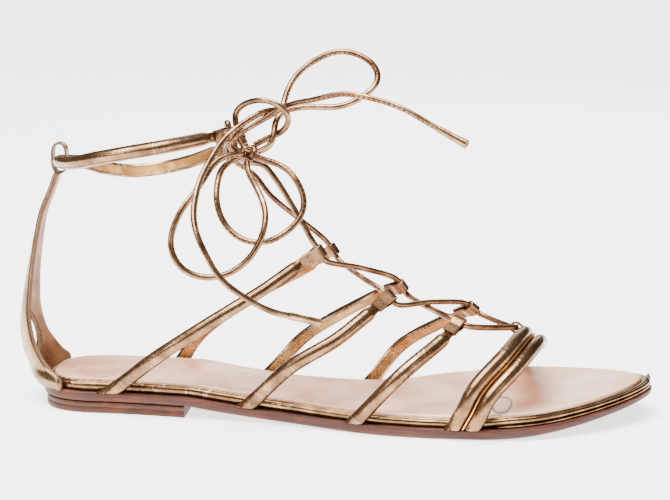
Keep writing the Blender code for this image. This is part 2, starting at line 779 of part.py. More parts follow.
def lace_crossings(loops, vamp_loop, ankle_loops, material):
    """The two runs of the lace from the knot through the loops, crossing twice, to the vamp."""
    lift = Vector((0, 0, crossing_lift * lace_diameter))
    centre, axis = vamp_loop
    axis = axis if axis.y > 0 else -axis
    reach = tab_width / 2 + lace_straight
    runs = []
    for side, order, ankle, (upper, lower) in zip((-1, 1), lace_order, ankle_loops, run_starts):
        first, second, third = (through(loops[name]) for name in order)
        upper = in_metres(upper)
        points = [at_knot(upper[0]), *upper, *through(ankle), *in_metres(lower)]
        points += first + [(first[-1] + second[0]) / 2 - lift * side]
        points += second + [(second[-1] + third[0]) / 2 + lift * side]
        points += third
        into = centre + axis * side * reach
        turn = Vector((vamp_bend[0], side * vamp_bend[1], 0)) * mm
        points += [into + turn, into - axis * side * lace_straight,
                   centre - axis * side * bore_radius / 3]
        run = tube("lace_run_" + str(len(runs)), points, lace_diameter, None, spacing=1.7)
        runs.append(meshed(run, cutters if runs else sandal))
    ob, other = runs
    ob.name = "lace_crossings"
    ob.data.materials.append(material)
    ob.data.shade_smooth()
    join(ob, other, "UNION")


def lace_knot(material):
    bm = bmesh.new()
    bmesh.ops.create_uvsphere(bm, u_segments=12, v_segments=8, radius=knot_size / 2)
    bmesh.ops.translate(bm, vec=Vector(knot_place) * mm, verts=bm.verts)
    finished("lace_knot", bm, material, sandal)


def bow(material, tip_material):
    """The bow's loops and the lace's two free ends, each end with its tip."""
    for name, leaves, comes_back, points in bow_routes:
        route = in_metres(points)
        if leaves:
            route.insert(0, at_knot(route[0]))
        if comes_back:
            route.append(at_knot(route[-1]))
        tube(name, route, lace_diameter, material)
        if name in end_routes:
            heading = (route[-1] - route[-2]).normalized()
            middle = route[-1] + heading * (clearance + tip_length / 2)
            tip = rod(end_routes[name], middle, heading, tip_diameter / 2, tip_length, 12)
            cutters.objects.unlink(tip)
            sandal.objects.link(tip)
            tip.data.materials.append(tip_material)


def leather(name, colour, roughness, metallic):
    material = bpy.data.materials.new(name)
    material.use_nodes = True
    shader = material.node_tree.nodes["Principled BSDF"]
    shader.inputs["Base Color"].default_value = (*colour, 1)
    shader.inputs["Roughness"].default_value = roughness
    shader.inputs["Metallic"].default_value = metallic
    return material


for old in list(bpy.data.objects):
    bpy.data.objects.remove(old)
sandal = bpy.data.collections.new("gladiator_sandal")
cutters = bpy.data.collections.new("cutters")
bpy.context.scene.collection.children.link(sandal)
bpy.context.scene.collection.children.link(cutters)

gold = leather("gold_leather", (0.60, 0.42, 0.28), 0.32, 0.85)
sole_brown = leather("sole_leather", (0.20, 0.07, 0.035), 0.6, 0.0)
heel_brown = leather("stacked_heel_leather", (0.24, 0.09, 0.04), 0.6, 0.0)
sock = leather("insole_leather", (0.75, 0.56, 0.47), 0.55, 0.0)
lace_gold = leather("lace_leather", (0.48, 0.30, 0.19), 0.38, 0.7)
tip_gold = leather("tip_leather", (0.55, 0.40, 0.28), 0.3, 0.7)

heel_end = heel_length / sole_length
heel_join = 0.02  # share of the length behind which the outsole's underside clears the heel


def outsole_bottom(x):
    return underside(x) + (clearance / 2 if share_at(x) < heel_end + heel_join else 0)


def midsole_level(share):
    """The height at a share of the midsole's thickness, as a function of x."""
    def level(x):
        low = toe_layer_top(x) + clearance
        return low + share * (midsole_top(x) - low)
    return level


layered("heel_block", heel_brown, [
    (heel_inset, lambda x: 0.0),
    (heel_inset, lambda x: heel_height - clearance / 2),
], end=heel_end)
layered("outsole", sole_brown, [
    (outsole_edge * 1.6, outsole_bottom),
    (0.0, lambda x: outsole_bottom(x) + outsole_edge),
    (0.0, outsole_top),
])
layered("toe_layer", gold, [
    (midsole_inset, lambda x: outsole_top(x) + clearance),
    (midsole_inset, toe_layer_top),
], start=toe_layer_start + toe_layer_lift / 2)
layered("midsole", gold, [
    (midsole_inset + inset * mm, midsole_level(share)) for inset, share in midsole_profile
])
layered("insole", sock, [
    (insole_inset, lambda x: midsole_top(x) + clearance),
    (insole_inset, lambda x: insole_top(x) - (1 - insole_side) * insole_thickness),
    (insole_inset + insole_round, insole_top),
])

foot_trim = layered("foot_trim", None, [
    (-trim_reach, lambda x: -trim_reach),
    (-trim_reach, lambda x: outsole_top(x) + clearance),
], collection=cutters)

loop_places = {name: place(rows[-1]) for name, side, base, rows in side_straps}
pulls = {}
for order in lace_order:
    stops = [Vector(knot_place) * mm] + [loop_places[name] for name in order]
    stops.append(place(vamp_rows[vamp_hold_row]))
    for before, name, after in zip(stops, order, stops[2:]):
        pulls[name] = after - before
loops = {}
for name, side, base, rows in side_straps:
    loops[name] = side_strap(name, side, base, rows, pulls[name], gold)
vamp_loop = vamp_strap(gold)
heel_stay(gold)
ankle_loops = ankle_strap(gold)
lace_crossings(loops, vamp_loop, ankle_loops, lace_gold)
lace_knot(lace_gold)
bow(lace_gold, tip_gold)
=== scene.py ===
# Gladiator sandal, right shoe: the finish of every surface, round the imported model.
# X runs from heel to toe, -Y is the outer side and Z is up, in metres.

import math

import bpy
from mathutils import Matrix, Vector, noise


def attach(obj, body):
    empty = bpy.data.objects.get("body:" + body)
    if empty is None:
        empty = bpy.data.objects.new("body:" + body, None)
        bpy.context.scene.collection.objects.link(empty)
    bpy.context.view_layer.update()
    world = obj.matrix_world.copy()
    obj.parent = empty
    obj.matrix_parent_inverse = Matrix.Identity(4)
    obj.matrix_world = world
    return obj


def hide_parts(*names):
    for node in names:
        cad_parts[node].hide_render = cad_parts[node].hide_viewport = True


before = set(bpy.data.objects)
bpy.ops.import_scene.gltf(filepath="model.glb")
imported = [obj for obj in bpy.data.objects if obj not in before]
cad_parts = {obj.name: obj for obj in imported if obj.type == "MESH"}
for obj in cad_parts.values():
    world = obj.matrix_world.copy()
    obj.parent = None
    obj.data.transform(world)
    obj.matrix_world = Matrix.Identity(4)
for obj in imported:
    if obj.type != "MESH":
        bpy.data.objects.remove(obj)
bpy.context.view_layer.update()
bpy.ops.object.select_all(action="DESELECT")
print("frame loaded")

mm = 0.001

# Camera: the photograph's place and direction
camera = {
    "place": (0.16653, -0.72953, 0.200),
    "yaw": 6.1,  # degrees to the left
    "pitch": 10.5,  # degrees down
    "focalPixels": 1850,
    "imageWidth": 670,
    "sensor": 36,
}
yaw, pitch = math.radians(camera["yaw"]), math.radians(camera["pitch"])
forward = Vector((-math.sin(yaw) * math.cos(pitch), math.cos(yaw) * math.cos(pitch), -math.sin(pitch)))
bpy.ops.object.camera_add(location=camera["place"], rotation=forward.to_track_quat("-Z", "Y").to_euler())
view = bpy.context.object
view.name = "photo_view"
view.data.sensor_width = camera["sensor"]
view.data.lens = camera["focalPixels"] / camera["imageWidth"] * camera["sensor"]
view.data.clip_end = 30
bpy.context.scene.camera = view


# Curves and meshes
def smoothPath(points, spacing, finer=12):
    # evenly spaced points on a smooth curve through the given ones
    points = [Vector(p) for p in points]
    padded = [2 * points[0] - points[1], *points, 2 * points[-1] - points[-2]]
    fine = []
    for a, b, c, d in zip(padded, padded[1:], padded[2:], padded[3:]):
        first, middle, last = (math.sqrt((q - p).length) for p, q in ((a, b), (b, c), (c, d)))
        leave = (c - b) + ((b - a) / first - (c - a) / (first + middle)) * middle
        arrive = (c - b) + ((d - c) / last - (d - b) / (middle + last)) * middle
        for k in range(finer):
            t = k / finer
            fine.append(b * (2 * t**3 - 3 * t**2 + 1) + leave * (t**3 - 2 * t**2 + t)
                        + c * (3 * t**2 - 2 * t**3) + arrive * (t**3 - t**2))
    fine.append(points[-1])
    lengths = [0.0]
    for p, q in zip(fine, fine[1:]):
        lengths.append(lengths[-1] + (q - p).length)
    count = max(2, round(lengths[-1] / spacing))
    placed, i = [], 0
    for k in range(count + 1):
        target = lengths[-1] * k / count
        while i < len(fine) - 2 and lengths[i + 1] <= target:
            i += 1
        t = (target - lengths[i]) / max(lengths[i + 1] - lengths[i], 1e-9)
        placed.append(fine[i].lerp(fine[i + 1], min(t, 1)))
    return placed


def eased(points, step, rounds, spacing):
    # a smooth path through the given points, its small kinks taken out without shrinking it
    path = smoothPath(points, step)
    for i in range(2 * rounds):
        pull = -0.52 if i % 2 else 0.5
        middles = [p + ((o + q) / 2 - p) * pull for o, p, q in zip(path, path[1:], path[2:])]
        path = [path[0], *middles, path[-1]]
    return smoothPath(path, spacing)


def pathLength(path):
    return sum((q - p).length for p, q in zip(path, path[1:]))


def tangent(path, i):
    return (path[min(i + 1, len(path) - 1)] - path[max(i - 1, 0)]).normalized()


def squareTo(direction, line):
    return (direction - line * direction.dot(line)).normalized()


def held(share):
    return min(max(share, 0), 1)


weld = 0.01 * mm


def loft(name, rings, slots=None, closedAlong=False, sharp=40, materials=()):
    # a grid is added, its points are laid ring by ring, then the seams are welded and ends filled
    across = [[*ring, ring[0]] for ring in rings]
    if closedAlong:
        across.append(across[0])
    columns, rows = len(across[0]), len(across)
    bpy.ops.mesh.primitive_grid_add(x_subdivisions=columns - 1, y_subdivisions=rows - 1, size=1)
    piece = bpy.context.object
    piece.name = piece.data.name = name
    mesh = piece.data
    piece.matrix_world.identity()
    mesh.vertices.foreach_set("co", [x for ring in across for point in ring for x in point])
    widths, lengths = [[0.0] for _ in across], [0.0]
    for ring, width in zip(across, widths):
        for p, q in zip(ring, ring[1:]):
            width.append(width[-1] + (q - p).length)
    centres = [sum(ring, Vector()) / columns for ring in across]
    for p, q in zip(centres, centres[1:]):
        lengths.append(lengths[-1] + (q - p).length)
    cloth = mesh.uv_layers.active.data
    for loop, spot in zip(mesh.loops, cloth):
        row, column = divmod(loop.vertex_index, columns)
        spot.uv = (widths[row][column], lengths[row])
    if slots:
        for face in mesh.polygons:
            face.material_index = slots[min(mesh.loops[i].vertex_index % columns
                                            for i in face.loop_indices)]
    bpy.ops.object.mode_set(mode="EDIT")
    bpy.ops.mesh.select_all(action="SELECT")
    bpy.ops.mesh.remove_doubles(threshold=weld)
    bpy.ops.mesh.dissolve_degenerate(threshold=weld / 2)
    bpy.ops.mesh.select_all(action="SELECT")
    bpy.ops.mesh.fill_holes(sides=0)
    bpy.ops.mesh.select_all(action="SELECT")
    bpy.ops.mesh.normals_make_consistent(inside=False)
    bpy.ops.object.mode_set(mode="OBJECT")
    bpy.ops.object.shade_smooth_by_angle(angle=math.radians(sharp))
    bpy.ops.object.select_all(action="DESELECT")
    for material in materials:
        piece.data.materials.append(material)
    return piece


def joined(name, pieces):
    bpy.ops.object.select_all(action="DESELECT")
    for piece in pieces:
        piece.select_set(True)
    bpy.context.view_layer.objects.active = pieces[0]
    bpy.ops.object.join()
    pieces[0].name = pieces[0].data.name = name
    bpy.ops.object.select_all(action="DESELECT")
    return pieces[0]


def swept(path, facing, sections):
    # rings of a section along a path; facing is the outward direction at each point
    rings = []
    for i, centre in enumerate(path):
        ahead = tangent(path, i)
        outward = squareTo(facing[i], ahead)
        sideways = ahead.cross(outward)
        rings.append([centre + sideways * a + outward * b for a, b in sections[i]])
    return rings


def carriedFacing(path, first):
    # the least turning direction square to the path, which starts out near the given one
    facing = [squareTo(first, tangent(path, 0))]
    for i in range(1, len(path)):
        facing.append(squareTo(facing[-1], tangent(path, i)))
    return facing


def finishPiece(piece, slotName, nodes, *materials):
    for material in materials:
        piece.data.materials.append(material)
    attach(piece, "root")
    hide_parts(*nodes)


# Materials
def paint(code):
    # an sRGB hex colour made linear
    parts = [int(code[i:i + 2], 16) / 255 for i in (1, 3, 5)]
    return (*(c / 12.92 if c <= 0.04045 else ((c + 0.055) / 1.055) ** 2.4 for c in parts), 1)


def add(tree, kind, inputs, out=0, stops=(), **settings):
    # one node: its settings, its inputs (values, or outputs of other nodes) and a ramp's stops
    node = tree.nodes.new("ShaderNode" + kind)
    for setting, value in settings.items():
        setattr(node, setting, value)
    for key, value in inputs.items():
        if isinstance(value, bpy.types.NodeSocket):
            tree.links.new(value, node.inputs[key])
        else:
            node.inputs[key].default_value = value
    for i, (place, colour) in enumerate(stops):
        band = node.color_ramp.elements
        if i == len(band):
            band.new(place)
        band[i].position = place
        band[i].color = paint(colour)
    return node.outputs[out]


def newMaterial(name, constants):
    # constants go on the shader; the piece's own coordinates come with the material
    material = bpy.data.materials.new(name)
    material.use_nodes = True
    tree = material.node_tree
    for socket, value in constants.items():
        tree.nodes["Principled BSDF"].inputs[socket].default_value = value
    return material, tree, add(tree, "TexCoord", {}, "Object")


def coat(tree, sources, reliefs):
    # what the shader reads, then reliefs one on another: (source, strength, depth in mm)
    normal = {}
    for source, strength, depth in reliefs:
        normal = {"Normal": add(tree, "Bump", {"Height": source, "Strength": strength,
                                               "Distance": depth * mm, **normal})}
    for name, source in {**sources, **normal}.items():
        tree.links.new(source, tree.nodes["Principled BSDF"].inputs[name])


def goldLeather(name, shades, roughness, ribs, grain, crumple=1.0):
    # metallic-coated calf: a thin foil on soft leather, so it gleams like metal, and wrinkles finely
    # where the foot bends it
    material, tree, place = newMaterial(name, {"Base Color": paint(shades[1]), "Roughness": roughness,
                                               "Metallic": 0.95})
    cloudy = add(tree, "TexNoise", {"Vector": place, "Scale": 1 / (8 * mm), "Detail": 4, "Roughness": 0.55})
    fine = add(tree, "TexVoronoi", {"Vector": place, "Scale": 1 / (grain * mm), "Randomness": 1})
    along = add(tree, "Mapping", {"Vector": add(tree, "TexCoord", {}, "UV"),
                                  "Scale": (1 / (6 * mm), 1 / (ribs * mm), 1)})
    cross = add(tree, "TexNoise", {"Vector": along, "Scale": 1, "Detail": 3, "Roughness": 0.6,
                                   "Distortion": 0.5})
    where = add(tree, "TexNoise", {"Vector": place, "Scale": 1 / (26 * mm), "Detail": 2})
    bent = add(tree, "MapRange", {0: where, 1: 0.46, 2: 0.60, 3: 0.12})
    wrinkles = add(tree, "Math", {0: cross, 1: bent}, operation="MULTIPLY")
    colour = add(tree, "ValToRGB", {0: cloudy}, stops=list(zip((0.30, 0.52, 0.74), shades)))
    # the palest shade on the wrinkle crests: partly worn foil, partly a painted highlight
    worn = add(tree, "MapRange", {0: wrinkles, 1: 0.52, 2: 0.66, 4: 0.35})
    foil = add(tree, "Mix", {0: worn, 6: colour, 7: paint(shades[3])}, 2, data_type="RGBA")
    satin = add(tree, "MapRange", {0: cloudy, 1: 0.3, 2: 0.7, 3: roughness + 0.07, 4: roughness - 0.05})
    coat(tree, {"Base Color": foil, "Roughness": satin},
         [(wrinkles, 0.6 * crumple, 0.30), (cloudy, 0.15, 0.3), (fine, 0.12, 0.03)])
    return material


# shades from dark to the pale one of worn foil and painted highlight, roughness, rib and grain in mm,
# crumple
rolledGold = goldLeather("metallic_calf_leather", ("#5E432E", "#896749", "#B79069", "#E8CFB2"),
                         0.25, 1.25, 0.42)
edgeGold = goldLeather("metallic_leather_edge", ("#543A25", "#806040", "#B28C62", "#ECD6B6"),
                       0.20, 3.0, 0.5)
stayGold = goldLeather("metallic_leather_stay", ("#6C4E36", "#91704F", "#B69470", "#E4D4BC"),
                       0.28, 6.0, 0.5, 0.5)
# the fold between the vamp's tubes: golden leather, coloured brighter than the lining as a painted highlight
foldGold = goldLeather("metallic_leather_fold", ("#B07E48", "#DCA868", "#F2CC94", "#F6E2C0"),
                       0.30, 3.0, 0.5, 0.4)

# thin metallic goatskin lining: flat, warmer, its foil cracked by the foot
lining, tree, place = newMaterial("goatskin_lining", {"Base Color": paint("#B8854A"), "Roughness": 0.34,
                                                      "Metallic": 0.85})
cracks = add(tree, "TexVoronoi", {"Vector": place, "Scale": 1 / (1.1 * mm)}, feature="DISTANCE_TO_EDGE")
cloudy = add(tree, "TexNoise", {"Vector": place, "Scale": 1 / (5 * mm), "Detail": 4})
base = add(tree, "ValToRGB", {0: cloudy}, stops=[(0.30, "#8E5C2A"), (0.52, "#B07C42"), (0.72, "#CC9E60")])
height = add(tree, "SeparateXYZ", {"Vector": place}, "Z")
low = add(tree, "MapRange", {0: height, 1: 34 * mm, 2: 16 * mm, 3: 0.12, 4: 0.85})  # cracked most low down
gaps = add(tree, "MapRange", {0: cracks, 1: 0.09, 2: 0.02})
shine = add(tree, "Math", {0: low, 1: gaps}, operation="MULTIPLY")
foil = add(tree, "Mix", {0: shine, 6: base, 7: paint("#F0D9A0")}, 2, data_type="RGBA")
coat(tree, {"Base Color": foil}, [(shine, 0.4, 0.06), (cloudy, 0.35, 0.2)])

# smooth calf lining of the heel piece, tan and barely coated
heelLining, tree, place = newMaterial("calf_lining", {"Base Color": paint("#A87C56"), "Roughness": 0.45,
                                                      "Metallic": 0.3})
cloudy = add(tree, "TexNoise", {"Vector": place, "Scale": 1 / (9 * mm), "Detail": 5})
pores = add(tree, "TexVoronoi", {"Vector": place, "Scale": 1 / (0.6 * mm)})
tan = add(tree, "ValToRGB", {0: cloudy}, stops=[(0.32, "#74492C"), (0.52, "#90603C"), (0.70, "#AC7C54")])
coat(tree, {"Base Color": tan}, [(cloudy, 0.3, 0.3), (pores, 0.3, 0.05)])

# the cut edge of leather: dyed brown, fibrous and dull
cutEdge, tree, place = newMaterial("cut_leather_edge", {"Base Color": paint("#5E3E28"), "Roughness": 0.7})
fibres = add(tree, "TexNoise", {"Vector": place, "Scale": 1 / (0.5 * mm), "Detail": 3})
dyed = add(tree, "ValToRGB", {0: fibres}, stops=[(0.3, "#3E281A"), (0.7, "#8A6444")])
coat(tree, {"Base Color": dyed}, [(fibres, 0.4, 0.08)])

# waxed linen thread, twisted, almost black on the sock's edge
thread, tree, place = newMaterial("waxed_linen_thread", {"Base Color": paint("#3A2A22"), "Roughness": 0.55})
twist = add(tree, "TexNoise", {"Vector": place, "Scale": 1 / (0.4 * mm), "Detail": 2})
waxed = add(tree, "ValToRGB", {0: twist}, stops=[(0.3, "#241812"), (0.7, "#54402F")])
coat(tree, {"Base Color": waxed}, [(twist, 0.5, 0.1)])


def laceLeather(name, shades):
    # thin rolled metallic leather cord, its seam stitched along one side
    pitch, seamPlace = 2.1 * mm, 2.8 * mm
    material, tree, place = newMaterial(name, {"Base Color": paint(shades[1]), "Roughness": 0.18,
                                               "Metallic": 0.85})
    wound = add(tree, "TexCoord", {}, "UV")
    cloudy = add(tree, "TexNoise", {"Vector": place, "Scale": 1 / (6 * mm), "Detail": 4})
    along = add(tree, "Mapping", {"Vector": wound, "Scale": (1 / (3 * mm), 1 / (1.1 * mm), 1)})
    creases = add(tree, "TexNoise", {"Vector": along, "Scale": 1, "Detail": 3, "Distortion": 0.4})
    across, lengthways = (add(tree, "SeparateXYZ", {0: wound}, axis) for axis in "XY")
    pace = add(tree, "Math", {0: lengthways, 1: 1 / pitch}, operation="MULTIPLY")
    beat = add(tree, "Math", {0: pace}, operation="FRACT")
    dash = add(tree, "Math", {0: beat, 1: 0.55}, operation="LESS_THAN")
    off = add(tree, "Math", {0: across, 1: seamPlace}, operation="SUBTRACT")
    near = add(tree, "Math", {0: off}, operation="ABSOLUTE")
    line = add(tree, "MapRange", {0: near, 1: 0.40 * mm, 2: 0.24 * mm})
    stitch = add(tree, "Math", {0: dash, 1: line}, operation="MULTIPLY")
    colour = add(tree, "ValToRGB", {0: cloudy}, stops=list(zip((0.32, 0.52, 0.70), shades)))
    sewn = add(tree, "Mix", {0: stitch, 6: colour, 7: paint("#5B3A26")}, 2, data_type="RGBA")
    sunk = add(tree, "Math", {0: stitch, 1: -1}, operation="MULTIPLY")
    coat(tree, {"Base Color": sewn}, [(creases, 0.4, 0.15), (sunk, 0.7, 0.2)])
    return material


laceGold = laceLeather("rolled_lace_leather", ("#5E402B", "#876445", "#B08A64"))
tipGold = laceLeather("rolled_tip_leather", ("#7E5E42", "#AC8860", "#D4B48A"))


def soleLeather(name, shades, streak, back=None):
    # vegetable-tanned sole leather, dyed and burnished at its edge; streaks run with the layers
    material, tree, place = newMaterial(name, {"Base Color": paint(shades[1]), "Roughness": 0.5,
                                               "Specular IOR Level": 0.4})
    flatly = add(tree, "Mapping", {"Vector": place,
                                   "Scale": (1 / (streak * mm), 1 / (streak * mm), 1 / (0.9 * mm))})
    layers = add(tree, "TexNoise", {"Vector": flatly, "Scale": 1, "Detail": 6, "Roughness": 0.7})
    patches = add(tree, "TexNoise", {"Vector": place, "Scale": 1 / (7 * mm), "Detail": 5, "Roughness": 0.65})
    base = add(tree, "ValToRGB", {0: layers}, stops=list(zip((0.30, 0.50, 0.70), shades)))
    if back:  # the colour it is burnished to behind the heel
        x = add(tree, "SeparateXYZ", {"Vector": place}, "X")
        behind = add(tree, "MapRange", {0: x, 1: 2 * mm, 2: -4 * mm, 4: 0.6})
        base = add(tree, "Mix", {0: behind, 6: base, 7: paint(back)}, 2, data_type="RGBA")
    dark = add(tree, "MapRange", {0: patches, 1: 0.38, 2: 0.62})
    dyed = add(tree, "Mix", {0: 0.55, 6: base, 7: paint(shades[0])}, 2, data_type="RGBA")
    waxed = add(tree, "Mix", {0: dark, 6: dyed, 7: base}, 2, data_type="RGBA")
    dull = add(tree, "MapRange", {0: patches, 1: 0.3, 2: 0.7, 3: 0.42, 4: 0.62})
    coat(tree, {"Base Color": waxed, "Roughness": dull}, [(layers, 0.5, 0.18), (patches, 0.3, 0.25)])
    return material


outsoleBrown = soleLeather("vegetable_tanned_sole", ("#2C1007", "#50220F", "#74391C"), 16)
heelBrown = soleLeather("stacked_heel_leather_layers", ("#30140A", "#562811", "#7E461F"), 8, "#552C12")


def sockLeather():
    # full-grain sock leather with a pearl finish: matt and marked by wear at the heel, still
    # metallic under the toes, with the peeled place of a bare oval
    peelMiddle, peelHalf = (157 * mm, -29 * mm, 0), (7 * mm, 23 * mm)
    material, tree, place = newMaterial("pearl_sock_leather", {"Base Color": paint("#E3C8B8"),
                                                               "Roughness": 0.45})
    x = add(tree, "SeparateXYZ", {"Vector": place}, "X")
    grain = add(tree, "TexVoronoi", {"Vector": place, "Scale": 1 / (0.8 * mm)})
    clouds = add(tree, "TexNoise", {"Vector": place, "Scale": 1 / (22 * mm), "Detail": 6, "Roughness": 0.6})
    spots = add(tree, "TexNoise", {"Vector": place, "Scale": 1 / (6 * mm), "Detail": 5, "Roughness": 0.7,
                                   "Distortion": 0.7})
    along = add(tree, "Mapping", {"Vector": place, "Scale": (1 / (14 * mm), 1 / (1.1 * mm), 1)})
    scratches = add(tree, "TexNoise", {"Vector": along, "Scale": 1, "Detail": 5, "Roughness": 0.7,
                                       "Distortion": 1.2})
    halves = []
    for shades, stain, scratch, low, high, most in (
            (("#CC8E6C", "#E8AE8E", "#F6CBB0"), 0.6, "#A27058", 0.62, 0.68, 0.45),  # at the heel
            (("#E8AE8C", "#FBCDAE", "#FFE4D0"), None, "#B5825C", 0.61, 0.67, 0.5)):  # at the toes
        base = add(tree, "ValToRGB", {0: clouds}, stops=list(zip((0.34, 0.50, 0.66), shades)))
        if stain:
            stains = add(tree, "MapRange", {0: spots, 1: 0.56, 2: 0.70, 4: stain})
            base = add(tree, "Mix", {0: stains, 6: base, 7: paint("#94706E")}, 2, data_type="RGBA")
        marks = add(tree, "MapRange", {0: scratches, 1: low, 2: high, 4: most})
        halves.append(add(tree, "Mix", {0: marks, 6: base, 7: paint(scratch)}, 2, data_type="RGBA"))
    front = add(tree, "MapRange", {0: x, 1: 95 * mm, 2: 135 * mm})
    worn = add(tree, "Mix", {0: front, 6: halves[0], 7: halves[1]}, 2, data_type="RGBA")
    away = add(tree, "VectorMath", {0: place, 1: peelMiddle}, operation="SUBTRACT")
    oval = add(tree, "VectorMath", {0: away, 1: (1 / peelHalf[0], 1 / peelHalf[1], 0)}, operation="MULTIPLY")
    reach = add(tree, "VectorMath", {0: oval}, "Value", operation="LENGTH")
    ragged = add(tree, "Math", {0: spots, 1: 0.2, 2: reach}, operation="MULTIPLY_ADD")
    peeled = add(tree, "MapRange", {0: ragged, 1: 0.66, 2: 0.58, 4: 0.7})
    outside = add(tree, "MapRange", {0: ragged, 1: 0.73, 2: 0.67})
    inside = add(tree, "MapRange", {0: ragged, 1: 0.55, 2: 0.61})
    rim = add(tree, "Math", {0: outside, 1: inside}, operation="MULTIPLY")
    peel = add(tree, "Mix", {0: peeled, 6: worn, 7: paint("#C49C8C")}, 2, data_type="RGBA")
    skin = add(tree, "Mix", {0: rim, 6: peel, 7: paint("#7A5848")}, 2, data_type="RGBA")
    foil = add(tree, "MapRange", {0: x, 1: 95 * mm, 2: 150 * mm, 4: 0.4})
    satin = add(tree, "MapRange", {0: spots, 1: 0.3, 2: 0.7, 3: 0.28, 4: 0.42})
    coat(tree, {"Base Color": skin, "Metallic": foil, "Roughness": satin},
         [(clouds, 0.25, 1.0), (scratches, 0.25, 0.15), (grain, 0.3, 0.06)])
    return material


sockPink = sockLeather()
print("materials made")


# Lace
lace = {
    "diameter": 2.0 * mm,
    "width": 2.6 * mm,  # it is pressed a little flat
    "flat": 0.86,  # its thickness as a share of that width
    "easing": 44,
    "easingStep": 2.4 * mm,
    "runEasing": 3,
    "runStep": 1.2 * mm,
    "sides": 14,
    "spacing": 0.7 * mm,
    "room": 0.5 * mm,  # between the lace and the loop round it
    "straight": 1.6 * mm,  # how far it runs straight on past a loop
    "crossingLift": 0.35,
    "knotPlace": (55, -8, 104),
    "knotSize": 7.2 * mm,
    "vampBend": (-2, 0.6),
    "tipLength": 13 * mm,
    "clearance": 0.3 * mm,
}
runStarts = [
    ([(51, -4, 108), (47, -2.8, 112), (45.8, -4.8, 115.3)], [(53, -3, 100), (60, -5, 99), (65, -6, 94)]),
    ([(52, -2, 108), (50, 2.5, 112)], [(56, 0, 94), (63, -2, 86)]),
]
bowRoutes = [
    # name, whether it leaves the knot, whether it comes back to it, points in mm
    ("bow_loop_1", True, True,
     [(61, -13, 102), (68, -17, 101), (73, -20, 98), (77, -23, 93), (79, -25, 88), (78, -28, 82),
      (73, -31, 77), (69, -32, 74), (64, -33, 73), (58, -33, 73), (51, -31, 77), (47, -29, 82),
      (45, -26, 89), (45, -21, 95), (46, -15.5, 99), (48, -12, 101)]),
    ("bow_loop_2", True, True,
     [(52, -12.5, 104), (49, -14, 104), (46, -16, 103), (43, -19, 101), (40, -25, 96),
      (37, -30, 91), (32, -35, 84), (30, -38, 77), (29, -40, 73), (31, -41, 68), (34, -41, 63),
      (39, -41, 61), (45, -41, 60), (50, -40, 61), (57, -39, 65), (62, -37, 71), (64, -36, 76),
      (65, -32, 82), (63, -27, 88), (60, -22, 92), (57, -16, 96), (54, -11, 99)]),
    ("bow_loop_3", True, True,
     [(58, -5, 108.5), (61, -4.5, 109.3), (66, -4.5, 111), (69, -6.5, 114), (71, -8.5, 117),
      (71, -9.5, 119), (69, -10, 122), (65, -9.5, 124), (60, -8, 125), (56, -6.5, 124),
      (52, -5, 122), (49, -4, 120), (49, -4, 117), (50, -5, 115), (51, -6.5, 112), (53, -7.5, 109)]),
    ("bow_loop_4", True, False,
     [(61, -9, 105), (64, -8.7, 107), (65, -7.7, 111), (65, -5, 115), (66, -1.5, 118),
      (69, -0.5, 120), (73, -1, 121), (78, -2, 122), (85, -1.5, 122), (91, -0.5, 122),
      (97, 1, 125), (102, 4, 128), (105, 7, 132), (104, 9, 136), (100, 11, 140), (94, 12.5, 142),
      (89, 13, 143), (83, 13, 141), (76, 12, 137), (71, 9.5, 132), (69, 7.5, 128), (68, 5, 125),
      (67.5, 2.3, 122)]),
    ("lace_end_1", False, False,
     [(65.3, -1, 120.6), (64, -3, 121), (61, -6.5, 120), (56, -10, 118), (51, -12.8, 114),
      (47, -16.5, 111), (44, -22, 106), (41, -29, 100), (40, -33, 97), (39, -38, 91),
      (39, -43, 85), (41, -48, 78), (45, -51, 71), (50, -53, 63), (57, -53, 57), (63, -52, 53),
      (70, -50, 49), (76, -47, 47)]),
    ("lace_end_2", True, False,
     [(49.2, -9.5, 105), (48.3, -11.5, 107.5), (51, -12.3, 111), (55, -11.5, 114), (59, -8.5, 116),
      (63, -6, 119), (66, -5, 120), (69, -6.5, 122), (73, -9.5, 124), (77, -13, 125),
      (85, -17, 127), (93, -19, 129), (103, -22, 128), (112, -24, 126), (120, -26, 123),
      (127, -27, 119), (131, -28, 117)]),
]
tipSizes = {  # node, radius where the lace enters, radius at the open end
    "lace_end_1": ("lace_tip_1", 1.45 * mm, 1.5 * mm),
    "lace_end_2": ("lace_tip_2", 1.35 * mm, 1.75 * mm),
}
knotMiddle = Vector(lace["knotPlace"]) * mm


def inMetres(points):
    return [Vector(point) * mm for point in points]


def atKnot(point):
    return knotMiddle + (point - knotMiddle).normalized() * (lace["knotSize"] / 2 + lace["clearance"])


def ovalSection(radius, flat, sides):
    return [(radius * math.cos(2 * math.pi * k / sides), radius * flat * math.sin(2 * math.pi * k / sides))
            for k in range(sides)]


def cordPiece(name, path, radius):
    # a slightly flattened tube whose width swells and pinches a little along its length
    front = Vector((0, -1, 0.2))
    sections = []
    for i in range(len(path)):
        swell = 1 + 0.03 * noise.noise(Vector((i * 0.3, len(name), 0)))
        sections.append(ovalSection(radius * swell, lace["flat"], lace["sides"]))
    return loft(name, swept(path, carriedFacing(path, front), sections))


